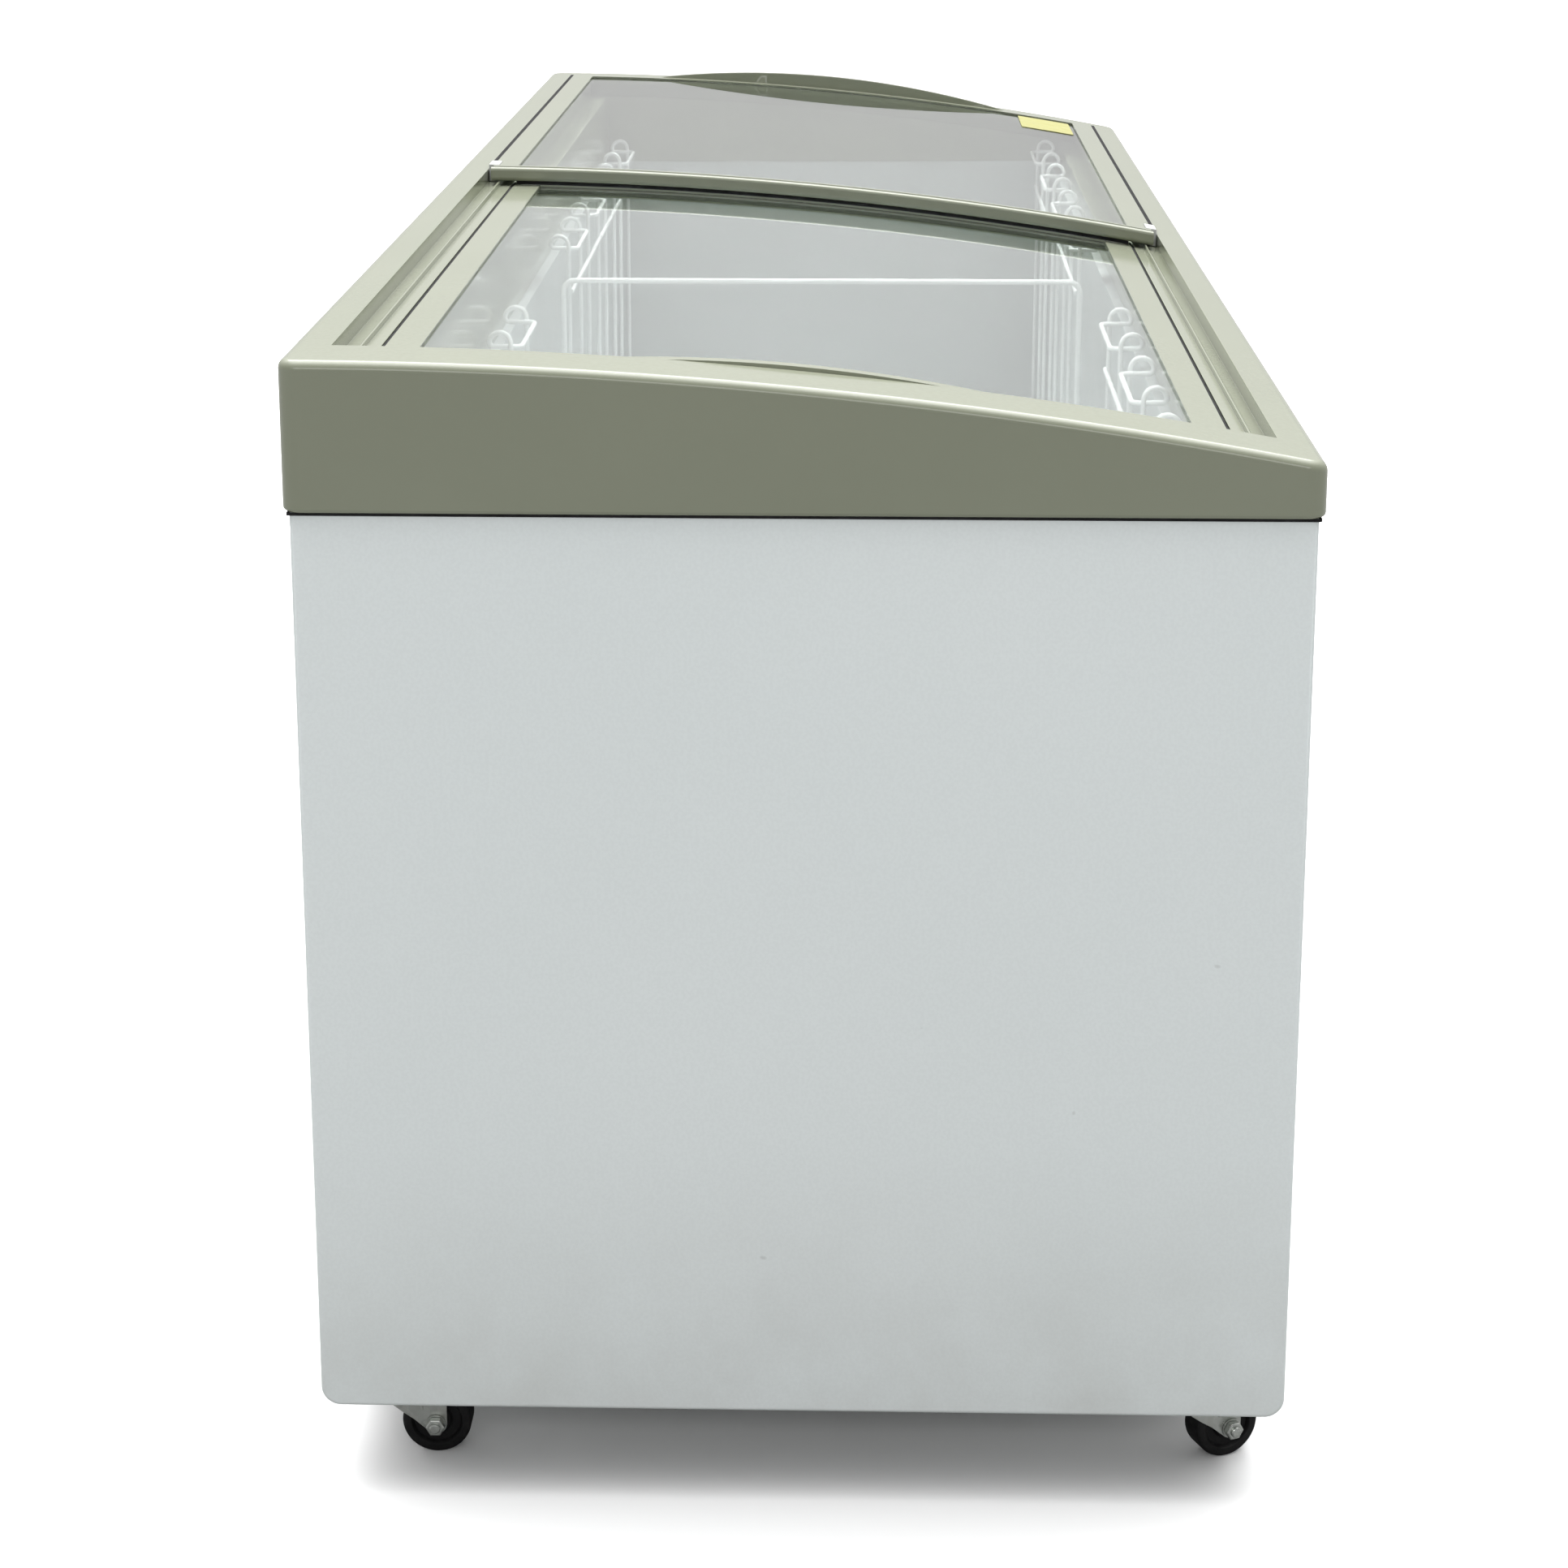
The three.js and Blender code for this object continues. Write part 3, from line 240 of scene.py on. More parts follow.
class Nodes:
    """The node tree of one material, with its shader and its coordinates in the shared frame."""

    def __init__(self, name):
        self.material = bpy.data.materials.new(name)
        self.material.use_nodes = True
        self.tree = self.material.node_tree
        self.tree.nodes.clear()
        self.shader = self.new("ShaderNodeBsdfPrincipled")
        self.out = self.new("ShaderNodeOutputMaterial")
        self.place = self.new("ShaderNodeTexCoord").outputs["Object"]
        self.link(self.shader.outputs[0], self.out.inputs["Surface"])

    def new(self, kind):
        return self.tree.nodes.new(kind)

    def link(self, source, target):
        self.tree.links.new(source, target)

    def noise(self, scale, detail=3.0, roughness=0.5, place=None):
        node = self.new("ShaderNodeTexNoise")
        node.inputs["Scale"].default_value = scale
        node.inputs["Detail"].default_value = detail
        node.inputs["Roughness"].default_value = roughness
        self.link(self.place if place is None else place, node.inputs["Vector"])
        return node.outputs["Fac"]

    def span(self, value, low, high, start=0.3, end=0.7):
        """value from start..end mapped to low..high."""
        node = self.new("ShaderNodeMapRange")
        node.inputs["From Min"].default_value = start
        node.inputs["From Max"].default_value = end
        node.inputs["To Min"].default_value = low
        node.inputs["To Max"].default_value = high
        self.link(value, node.inputs["Value"])
        return node.outputs["Result"]

    def math(self, operation, a, b):
        node = self.new("ShaderNodeMath")
        node.operation = operation
        for socket, value in zip(node.inputs, (a, b)):
            if isinstance(value, float):
                socket.default_value = value
            else:
                self.link(value, socket)
        return node.outputs[0]

    def mix(self, factor, a, b):
        node = self.new("ShaderNodeMix")
        node.data_type = "RGBA"
        if isinstance(factor, float):
            node.inputs["Factor"].default_value = factor
        else:
            self.link(factor, node.inputs["Factor"])
        for socket, value in ((node.inputs[6], a), (node.inputs[7], b)):
            if isinstance(value, tuple):
                socket.default_value = (*value, 1.0)
            else:
                self.link(value, socket)
        return node.outputs[2]

    def upward(self):
        """1 where the surface faces up, 0 where it is upright or faces down."""
        split = self.new("ShaderNodeSeparateXYZ")
        self.link(self.new("ShaderNodeNewGeometry").outputs["Normal"], split.inputs[0])
        return self.math("MAXIMUM", split.outputs["Z"], 0.0)

    def height(self):
        split = self.new("ShaderNodeSeparateXYZ")
        self.link(self.place, split.inputs[0])
        return split.outputs["Z"]

    def bump(self, height, distance, strength=1.0, below=None):
        node = self.new("ShaderNodeBump")
        node.inputs["Strength"].default_value = strength
        node.inputs["Distance"].default_value = distance
        self.link(height, node.inputs["Height"])
        if below is not None:
            self.link(below, node.inputs["Normal"])
        return node.outputs["Normal"]

    def set(self, **sockets):
        """Constants and links on the shader's own sockets."""
        for name, value in sockets.items():
            socket = self.shader.inputs[name.replace("_", " ")]
            if isinstance(value, bpy.types.NodeSocket):
                self.link(value, socket)
            elif isinstance(value, tuple):
                socket.default_value = (*value, 1.0)
            else:
                socket.default_value = value


def studio_floor():
    """A matt white floor that throws less light back at the object than it shows to the camera."""
    n = Nodes("studio_floor")
    mottle = n.span(n.noise(2.0), 0.0, 1.0)
    shown = n.mix(mottle, (0.86, 0.86, 0.86), (0.88, 0.88, 0.88))
    thrown = n.mix(mottle, (0.26, 0.26, 0.26), (0.28, 0.28, 0.28))
    path = n.new("ShaderNodeLightPath")
    n.set(Base_Color=n.mix(path.outputs["Is Camera Ray"], thrown, shown), Roughness=0.9)
    return n.material


def painted_steel():
    """White powder coat on sheet steel: fine orange peel, a slow wave in the sheet, dust low down."""
    n = Nodes("painted_steel")
    mottle = n.span(n.noise(3.0), 0.0, 1.0)
    base = n.mix(mottle, (0.675, 0.722, 0.720), (0.692, 0.735, 0.733))
    fleck = n.span(n.noise(420.0, 2.0), 0.0, 1.0, 0.40, 0.60)
    base = n.mix(n.math("MULTIPLY", fleck, 0.10), base, (0.50, 0.53, 0.53))
    low = n.span(n.height(), 0.6, 0.0, BODY_BOTTOM, BODY_BOTTOM + 0.20)
    dusty = n.math("MULTIPLY", low, n.span(n.noise(14.0, 6.0, 0.6), 0.15, 0.75))
    base = n.mix(dusty, base, (0.49, 0.50, 0.48))
    speck = n.span(n.noise(55.0, 1.0), 0.0, 1.0, 0.80, 0.82)
    base = n.mix(n.math("MULTIPLY", speck, 0.3), base, (0.30, 0.31, 0.30))
    peel = n.bump(n.noise(520.0, 2.0), 0.00004)
    wave = n.bump(n.noise(4.0, 1.0), 0.0016, 1.0, peel)
    n.set(Base_Color=base, Roughness=n.span(n.noise(9.0, 4.0), 0.36, 0.46), Normal=wave)
    return n.material


def moulded_plastic(name, dark, light, roughness, grain=700.0, depth=0.00003, dust=0.0):
    """Injection-moulded plastic: slow tone drift, fine grain, and dust on what faces up."""
    n = Nodes(name)
    base = n.mix(n.span(n.noise(6.0, 4.0), 0.0, 1.0), dark, light)
    if dust:
        film = n.math("MULTIPLY", n.upward(), n.span(n.noise(260.0, 4.0), 0.6 * dust, dust))
        base = n.mix(film, base, (0.72, 0.72, 0.66))
    rough = n.span(n.noise(22.0, 5.0), *roughness)
    n.set(Base_Color=base, Roughness=rough, Normal=n.bump(n.noise(grain, 2.0), depth))
    return n.material


def zinc_plate(name, tint, roughness):
    """Zinc-plated pressed steel with a faint spangle."""
    n = Nodes(name)
    cells = n.new("ShaderNodeTexVoronoi")
    cells.inputs["Scale"].default_value = 260.0
    n.link(n.place, cells.inputs["Vector"])
    spangle = n.new("ShaderNodeSeparateXYZ")
    n.link(cells.outputs["Color"], spangle.inputs[0])
    dull = tuple(0.82 * c for c in tint)
    base = n.mix(spangle.outputs["X"], dull, tint)
    base = n.mix(n.span(n.noise(60.0, 5.0), 0.0, 0.5, 0.5, 0.8), base, (0.30, 0.28, 0.25))
    n.set(
        Base_Color=base, Metallic=0.9, Normal=n.bump(n.noise(300.0, 4.0), 0.00005),
        Roughness=n.span(n.noise(40.0, 4.0), *roughness),
    )
    return n.material


def turned_metal(name, dark, light, roughness):
    """Bare tube or drawn metal, tarnished in patches."""
    n = Nodes(name)
    base = n.mix(n.span(n.noise(45.0, 5.0, 0.6), 0.0, 1.0), dark, light)
    n.set(
        Base_Color=base, Metallic=1.0, Normal=n.bump(n.noise(500.0, 3.0), 0.00003),
        Roughness=n.span(n.noise(90.0, 3.0), *roughness),
    )
    return n.material


def foamed_insulation():
    n = Nodes("foam")
    cell = n.noise(240.0, 6.0, 0.7)
    base = n.mix(n.span(cell, 0.0, 1.0), (0.66, 0.56, 0.30), (0.84, 0.76, 0.50))
    n.set(Base_Color=base, Roughness=0.92, Normal=n.bump(cell, 0.0006))
    return n.material


def black_enamel():
    """Baked enamel on the compressor shell and motor."""
    n = Nodes("machine_steel")
    base = n.mix(n.span(n.noise(30.0, 5.0), 0.0, 1.0), (0.012, 0.012, 0.013), (0.030, 0.030, 0.032))
    film = n.math("MULTIPLY", n.upward(), n.span(n.noise(45.0, 6.0), 0.05, 0.45))
    n.set(
        Base_Color=n.mix(film, base, (0.20, 0.18, 0.15)), Normal=n.bump(n.noise(260.0, 3.0), 0.0001),
        Roughness=n.span(n.noise(60.0, 4.0), 0.32, 0.55),
    )
    return n.material


def wheel_plastic():
    """Black nylon tyre with a dusty tread."""
    n = Nodes("wheel_plastic")
    scuff = n.span(n.noise(130.0, 6.0, 0.65), 0.0, 0.16, 0.45, 0.8)
    base = n.mix(scuff, (0.004, 0.004, 0.0045), (0.06, 0.057, 0.052))
    n.set(Base_Color=base, Roughness=n.span(n.noise(70.0, 4.0), 0.50, 0.68), Specular_IOR_Level=0.25,
          Normal=n.bump(n.noise(420.0, 3.0), 0.00008))
    return n.material


def rubber():
    n = Nodes("seal_rubber")
    base = n.mix(n.span(n.noise(80.0, 4.0), 0.0, 1.0), (0.008, 0.008, 0.008), (0.020, 0.020, 0.021))
    n.set(Base_Color=base, Roughness=n.span(n.noise(120.0, 3.0), 0.70, 0.85), Specular_IOR_Level=0.12,
          Normal=n.bump(n.noise(600.0, 3.0), 0.00006))
    return n.material


def paper_label():
    """A plain yellow sticker."""
    n = Nodes("label_film")
    fibre = n.noise(900.0, 4.0, 0.6)
    base = n.mix(n.span(fibre, 0.0, 1.0), (0.25, 0.24, 0.065), (0.28, 0.27, 0.078))
    n.set(Base_Color=base, Roughness=n.span(n.noise(60.0, 3.0), 0.42, 0.60), Normal=n.bump(fibre, 0.00002))
    return n.material


def lamp_lens():
    n = Nodes("lamp_lens")
    ring = n.noise(500.0, 2.0)
    base = n.mix(n.span(ring, 0.0, 1.0), (0.03, 0.34, 0.08), (0.06, 0.46, 0.13))
    n.set(Base_Color=base, Roughness=n.span(ring, 0.12, 0.22), Normal=n.bump(ring, 0.00004))
    n.set(Coat_Weight=0.6)
    return n.material


def lid_glass():
    """Toughened glass with a faint green tint. Shadow rays pass it, so the tank is lit through it."""
    n = Nodes("lid_glass")
    smear = n.noise(16.0, 6.0, 0.65)
    tint = n.mix(n.span(smear, 0.0, 1.0), (0.955, 0.980, 0.965), (0.985, 0.995, 0.988))
    n.set(
        Base_Color=tint, Roughness=n.span(smear, 0.0, 0.022, 0.45, 0.8), IOR=1.5, Transmission_Weight=1.0,
        Normal=n.bump(n.noise(5.0, 1.0), 0.00006),
    )
    clear = n.new("ShaderNodeBsdfTransparent")
    clear.inputs["Color"].default_value = (0.80, 0.84, 0.82, 1.0)
    path = n.new("ShaderNodeLightPath")
    pick = n.new("ShaderNodeMixShader")
    n.link(path.outputs["Is Shadow Ray"], pick.inputs[0])
    n.link(n.shader.outputs[0], pick.inputs[1])
    n.link(clear.outputs[0], pick.inputs[2])
    n.link(pick.outputs[0], n.out.inputs["Surface"])
    return n.material


def make_materials():
    olive = ((0.188, 0.203, 0.145), (0.198, 0.213, 0.154), (0.12, 0.15), 900.0, 0.00001, 0.07)
    plastics = {
        # slot: darkest tone, lightest tone, roughness, grain, its depth, dust
        "liner_sheet": ((0.44, 0.47, 0.47), (0.48, 0.51, 0.51), (0.36, 0.50), 380.0),
        "grey_plastic": ((0.34, 0.36, 0.32), (0.38, 0.40, 0.36), (0.40, 0.52)),
        "black_plastic": ((0.014, 0.014, 0.015), (0.026, 0.026, 0.027), (0.34, 0.48)),
        "collar_plastic": olive,
        "lid_frame_plastic": olive,
        "white_plastic": ((0.44, 0.45, 0.44), (0.50, 0.51, 0.50), (0.34, 0.46)),
        "coated_wire": ((0.84, 0.86, 0.86), (0.90, 0.92, 0.92), (0.24, 0.36), 300.0, 0.00008),
    }
    made = {slot: moulded_plastic(slot, *finish) for slot, finish in plastics.items()}
    return made | {
        "painted_steel": painted_steel(),
        "foam": foamed_insulation(),
        "copper": turned_metal("copper", (0.36, 0.16, 0.09), (0.72, 0.38, 0.24), (0.22, 0.42)),
        "lid_glass": lid_glass(),
        "seal_rubber": rubber(),
        "label_film": paper_label(),
        "lamp_lens": lamp_lens(),
        "machine_steel": black_enamel(),
        "condenser_metal": zinc_plate("condenser_metal", (0.56, 0.57, 0.58), (0.34, 0.50)),
        "caster_zinc": zinc_plate("caster_zinc", (0.50, 0.52, 0.49), (0.22, 0.40)),
        "wheel_plastic": wheel_plastic(),
    }


MATERIALS = make_materials()


# ---- Mesh helpers ----

# A curved piece is drawn flat, with z as its height over the lid cylinder, and then bent onto it.
BASE_MARK = -1.0         # a flat height near this stands for a height over the collar's underside
SLICE = 9 * MM
PAST = 0.1               # how far a cutting solid runs past what it cuts


def box_into(mesh, low, high):
    """A closed box between two opposite corners."""
    low, high = zip(*(sorted(pair) for pair in zip(low, high)))
    centre = (Vector(low) + Vector(high)) / 2
    size = Vector(high) - Vector(low)
    made = bmesh.ops.create_cube(mesh, size=1.0)
    for vertex in made["verts"]:
        vertex.co = Vector([vertex.co[i] * size[i] + centre[i] for i in range(3)])


def bridge(mesh, near, far):
    """Faces between two loops of as many vertices."""
    count = len(near)
    for i in range(count):
        j = (i + 1) % count
        mesh.faces.new((near[i], near[j], far[j], far[i]))


def prism_into(mesh, outline, axis, low, high):
    """An outline extruded along an axis. Its points are the other two coordinates in x, y, z order."""
    def point(u, v, w):
        return {"x": (w, u, v), "y": (u, w, v), "z": (u, v, w)}[axis]

    low, high = sorted((low, high))
    near = [mesh.verts.new(point(u, v, low)) for u, v in outline]
    far = [mesh.verts.new(point(u, v, high)) for u, v in outline]
    bridge(mesh, near, far)
    mesh.faces.new(near)
    mesh.faces.new(far)


def lathe_into(mesh, profile, axis, centre, steps=64):
    """A closed profile of (radius, height) points turned about an axis through centre."""
    def point(radius, angle, height):
        u, v = radius * math.cos(angle), radius * math.sin(angle)
        local = {"x": (height, u, v), "y": (u, height, v), "z": (u, v, height)}[axis]
        return Vector(local) + Vector(centre)

    rings = []
    for radius, height in profile:
        if radius:
            turns = [2 * math.pi * i / steps for i in range(steps)]
            rings.append([mesh.verts.new(point(radius, turn, height)) for turn in turns])
        else:
            rings.append([mesh.verts.new(point(0, 0, height))] * steps)
    closed = profile[0][0] > 0
    last = len(rings) if closed else len(rings) - 1
    for r in range(last):
        near, far = rings[r], rings[(r + 1) % len(rings)]
        for i in range(steps):
            j = (i + 1) % steps
            loop = []
            for vertex in (near[i], near[j], far[j], far[i]):
                if vertex not in loop:
                    loop.append(vertex)
            if len(loop) > 2:
                mesh.faces.new(loop)


def arc(u, v, radius, start, end, steps):
    """Points on the arc about (u, v) from one angle to another, in degrees."""
    points = []
    for i in range(steps + 1):
        angle = math.radians(start + (end - start) * i / steps)
        points.append((u + radius * math.cos(angle), v + radius * math.sin(angle)))
    return points


def rounded_rectangle(u0, u1, v0, v1, radius, steps=6):
    return (
        arc(u1 - radius, v1 - radius, radius, 0, 90, steps)
        + arc(u0 + radius, v1 - radius, radius, 90, 180, steps)
        + arc(u0 + radius, v0 + radius, radius, 180, 270, steps)
        + arc(u1 - radius, v0 + radius, radius, 270, 360, steps)
    )


def to_object(name, mesh, material):
    bmesh.ops.recalc_face_normals(mesh, faces=mesh.faces)
    data = bpy.data.meshes.new(name)
    mesh.to_mesh(data)
    mesh.free()
    data.materials.append(material)
    piece = bpy.data.objects.new(name, data)
    SCENE.collection.objects.link(piece)
    return piece


def solid(name, build, material):
    """An object whose mesh is filled by build."""
    mesh = bmesh.new()
    build(mesh)
    return to_object(name, mesh, material)


def apply_modifiers(piece):
    """Make the modified mesh the piece's own, and drop the modifiers."""
    bpy.context.view_layer.update()
    graph = bpy.context.evaluated_depsgraph_get()
    data = bpy.data.meshes.new_from_object(piece.evaluated_get(graph))
    data.name = piece.name
    old = piece.data
    piece.modifiers.clear()
    piece.data = data
    bpy.data.meshes.remove(old)


def combine(piece, operation, build):
    """Cut build's solid from the piece, or join it on."""
    tool = solid("tool", build, piece.data.materials[0])
    modifier = piece.modifiers.new("combine", "BOOLEAN")
    modifier.operation = operation
    modifier.solver = "EXACT"
    modifier.object = tool
    apply_modifiers(piece)
    data = tool.data
    bpy.data.objects.remove(tool)
    bpy.data.meshes.remove(data)


def cut(piece, build):
    combine(piece, "DIFFERENCE", build)


def join(piece, build):
    combine(piece, "UNION", build)


def bevel(piece, width, segments=2, angle=30.0):
    """Round every edge sharper than the angle."""
    modifier = piece.modifiers.new("bevel", "BEVEL")
    modifier.width = width
    modifier.segments = segments
    modifier.limit_method = "ANGLE"
    modifier.angle_limit = math.radians(angle)
    modifier.use_clamp_overlap = True
    modifier.miter_outer = "MITER_ARC"
    apply_modifiers(piece)


def bevel_edges(mesh, chosen, width, segments):
    edges = [edge for edge in mesh.edges if chosen(*(vertex.co for vertex in edge.verts))]
    bmesh.ops.bevel(
        mesh, geom=edges, offset=width, segments=segments, profile=0.5, affect="EDGES", clamp_overlap=True,
    )


def bend(piece, step=SLICE):
    """Slice the flat piece across its width and bend it onto the lid cylinder."""
    mesh = bmesh.new()
    mesh.from_mesh(piece.data)
    low = min(vertex.co.y for vertex in mesh.verts)
    high = max(vertex.co.y for vertex in mesh.verts)
    count = max(1, round((high - low) / step))
    for i in range(1, count):
        y = low + (high - low) * i / count
        everything = mesh.verts[:] + mesh.edges[:] + mesh.faces[:]
        bmesh.ops.bisect_plane(mesh, geom=everything, dist=1e-6, plane_co=(0, y, 0), plane_no=(0, 1, 0))
    for vertex in mesh.verts:
        if vertex.co.z < BASE_MARK / 2:
            vertex.co.z = COLLAR_BOTTOM + vertex.co.z - BASE_MARK
        else:
            vertex.co.z = surface_z(vertex.co.y, vertex.co.z)
    mesh.to_mesh(piece.data)
    mesh.free()


def smooth(piece, angle=35.0, weighted=True):
    """Smooth shading, broken only at sharp edges."""
    mesh = bmesh.new()
    mesh.from_mesh(piece.data)
    for face in mesh.faces:
        face.smooth = True
    for edge in mesh.edges:
        edge.smooth = len(edge.link_faces) == 2 and edge.calc_face_angle(0.0) < math.radians(angle)
    mesh.to_mesh(piece.data)
    mesh.free()
    if weighted:
        modifier = piece.modifiers.new("weighted", "WEIGHTED_NORMAL")
        modifier.keep_sharp = True
        modifier.weight = 80


def place(piece, body, slot, *nodes):
    """The piece rides on a body and stands for CAD nodes. Its slot is not used."""
    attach(piece, body)
    if nodes:
        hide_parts(*nodes)


def piece_of(name, body, slot, build, nodes=(), edge=0.0, segments=2, bent=False, angle=35.0):
    """A finished piece from a build function: edges rounded, bent if wanted, smoothed and placed."""
    piece = solid(name, build, MATERIALS[slot])
    if edge:
        bevel(piece, edge, segments)
    if bent:
        bend(piece)
    smooth(piece, angle)
    place(piece, body, slot, *nodes)
    return piece


# ---- Wires ----

def filleted(points, radius, steps=6):
    """The path with each corner replaced by an arc of about the radius."""
    points = [Vector(point) for point in points]
    path = [points[0]]
    for before, corner, after in zip(points, points[1:], points[2:]):
        back = before - corner
        ahead = after - corner
        turn = math.pi - back.angle(ahead)
        if turn < math.radians(3):
            path.append(corner)
            continue
        reach = min(radius * math.tan(turn / 2), 0.49 * back.length, 0.49 * ahead.length)
        start = corner + back.normalized() * reach
        end = corner + ahead.normalized() * reach
        for i in range(steps + 1):
            t = i / steps
            path.append(start * (1 - t) ** 2 + corner * (2 * t * (1 - t)) + end * t ** 2)
    path.append(points[-1])
    return path


def wires(name, paths, diameter, material):
    """One curve object holding a round wire along each path."""
    data = bpy.data.curves.new(name, "CURVE")
    data.dimensions = "3D"
    data.bevel_depth = diameter / 2
    data.bevel_resolution = 4
    data.use_fill_caps = True
    for path in paths:
        spline = data.splines.new("POLY")
        spline.points.add(len(path) - 1)
        for point, spot in zip(spline.points, path):
            point.co = (*spot, 1.0)
        spline.use_smooth = True
    data.materials.append(material)
    piece = bpy.data.objects.new(name, data)
    SCENE.collection.objects.link(piece)
    return piece


# ---- Collar ----

def collar_block(mesh):
    box_into(mesh, (-HALF_LENGTH, -HALF_WIDTH, BASE_MARK), (HALF_LENGTH, HALF_WIDTH, 0))
    bevel_edges(mesh, lambda a, b: abs(a.z - b.z) > 0.1, COLLAR_CORNER, 10)
    bevel_edges(mesh, lambda a, b: a.z > -MM and b.z > -MM, TOP_FILLET, 8)
    lowest = BASE_MARK + MM
    bevel_edges(mesh, lambda a, b: a.z < lowest and b.z < lowest, 3 * MM, 4)


def collar_pocket(mesh):
    """The upper lid's track, the lower lid's well and the throat, seen along X as one stepped outline."""
    half = [(LAND_INNER, PAST), (LAND_INNER, -TRACK_DEPTH), (RIB[1], -TRACK_DEPTH), (RIB[1], RIB_TOP)]
    half += [(RIB[0], RIB_TOP), (RIB[0], -TRACK_DEPTH), (STEP_EDGE, -TRACK_DEPTH), (STEP_EDGE, -SHELF_DEPTH)]
    outline = half + [(-y, h) for y, h in reversed(half)]
    prism_into(mesh, outline, "x", -CHEEK_INNER, CHEEK_INNER)


def collar_throat(mesh):
    box_into(
        mesh,
        (-TANK_HALF_LENGTH, -THROAT_HALF, BASE_MARK - PAST),
        (TANK_HALF_LENGTH, THROAT_HALF, PAST),
    )


def add_collar():
    collar = solid("collar_moulding", collar_block, MATERIALS["collar_plastic"])
    cut(collar, collar_pocket)
    cut(collar, collar_throat)
    bevel(collar, 0.7 * MM, 2)
    bend(collar)
    smooth(collar)
    place(
        collar, "cabinet", "collar_plastic",
        "collar_cheek_left", "collar_cheek_right", "collar_rail_front", "collar_rail_rear",
    )


# ---- Steel body ----

PAN_EDGE = 3.0 * MM
# The dark strip under the collar is painted shadow: its height, and how far it stands out.
SHADOW_STRIP_HEIGHT = 1.8 * MM
SHADOW_STRIP_REACH = (0.1 * MM, 1.6 * MM)     # out from the body's sides
VENT_LAP = 8 * MM                       # how far a grille laps over its hole


def pan_outline(inset):
    """The end panel's outline, moved in by inset: square above, rounded below."""
    half = BODY_HALF_WIDTH - inset
    floor = BODY_BOTTOM + inset
    radius = PANEL_CORNER - inset
    top = BODY_TOP - inset * 0.2
    points = [(half, top), (-half, top)]
    points += arc(-half + radius, floor + radius, radius, 180, 270, 14)
    points += arc(half - radius, floor + radius, radius, 270, 360, 14)
    return points


def pan_into(side):
    """An end panel: one sheet with a rim folded round the body, drawn as nested outlines."""
    def fold(radius, shift):
        """Depths behind the face and insets, round the folded edge."""
        steps = 6
        turns = [math.pi / 2 * i / steps for i in range(steps + 1)]
        return [(shift + radius * (1 - math.sin(t)), shift + radius * (1 - math.cos(t))) for t in turns]

    def build(mesh):
        outer = [(END_RIM, 0.0)] + fold(PAN_EDGE, 0.0)
        inner = [(END_RIM, SHEET), (PAN_EDGE + SHEET, SHEET)] + fold(PAN_EDGE - SHEET, SHEET)

        def loop(depth, inset):
            x = side * (BODY_HALF_LENGTH - depth)
            return [mesh.verts.new((x, y, z)) for y, z in pan_outline(inset)]

        outer_loops = [loop(*level) for level in outer]
        inner_loops = [loop(*level) for level in inner]
        for loops in (outer_loops, inner_loops):
            for near, far in zip(loops, loops[1:]):
                bridge(mesh, near, far)
            mesh.faces.new(loops[-1])
        bridge(mesh, outer_loops[0], inner_loops[0])

    return build


def long_panel(side):
    """A long panel with its lower edge bent under the body."""
    def build(mesh):
        bend_y = BODY_HALF_WIDTH - PANEL_CORNER
        bend_z = BODY_BOTTOM + PANEL_CORNER
        flange = PANEL_REAR[0].y
        outline = [(BODY_HALF_WIDTH, BODY_TOP), (BODY_HALF_WIDTH - SHEET, BODY_TOP)]
        outline += arc(bend_y, bend_z, PANEL_CORNER - SHEET, 0, -90, 14)
        outline += [(flange, BODY_BOTTOM + SHEET), (flange, BODY_BOTTOM)]
        outline += arc(bend_y, bend_z, PANEL_CORNER, -90, 0, 14)
        prism_into(mesh, [(side * y, z) for y, z in outline], "x", PANEL_REAR[0].x, PANEL_REAR[1].x)

    return build


def collar_shadow_strip(mesh):
    """A dark strip under the collar, all round the body: painted shadow for the shade line in the gap under
    the collar.
    """
    top, low = BODY_TOP, BODY_TOP - SHADOW_STRIP_HEIGHT
    near, far = SHADOW_STRIP_REACH
    x, y = BODY_HALF_LENGTH, BODY_HALF_WIDTH
    rings = []
    for reach, z in ((near, low), (far, low), (far, top), (near, top)):
        outline = rounded_rectangle(-x - reach, x + reach, -y - reach, y + reach, 2 * MM)
        rings.append([mesh.verts.new((u, v, z)) for u, v in outline])
    for ring, following in zip(rings, rings[1:] + rings[:1]):
        bridge(mesh, ring, following)


def add_body():
    # A dark strip under the collar, painted shadow for the shade line there.
    piece_of("collar_shadow_strip", "cabinet", "seal_rubber", collar_shadow_strip)
    for name, side in (("left", -1), ("right", 1)):
        piece_of(f"end_pan_{name}", "cabinet", "painted_steel", pan_into(side), [f"end_panel_{name}"])
    for name, side in (("front", -1), ("rear", 1)):
        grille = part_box(f"vent_grille_{name}")
        reach = side * BODY_HALF_WIDTH
        panel = solid(f"side_sheet_{name}", long_panel(side), MATERIALS["painted_steel"])
        low = (grille[0].x + VENT_LAP, reach - PAST / 2, grille[0].z + VENT_LAP)
        high = (grille[1].x - VENT_LAP, reach + PAST / 2, grille[1].z - VENT_LAP)
        cut(panel, lambda mesh: box_into(mesh, low, high))
        smooth(panel)
        place(panel, "cabinet", "painted_steel", f"{name}_panel")


# ---- Lids ----

def glass_box(sizes, clear=0.0):
    """Opposite corners of a lid's pane, which is let into the frame's groove."""
    x0, x1, _, _, top, inner, bars = sizes
    glass_top = top - GLASS_BELOW_TOP
    reach = inner + GLASS_GRIP + clear
    low = (x0 + bars[0] - min(GLASS_GRIP, bars[0] / 2) - clear, -reach, glass_top - GLASS_THICKNESS - clear)
    high = (x1 - bars[1] + min(GLASS_GRIP, bars[1] / 2) + clear, reach, glass_top + clear)
    return low, high


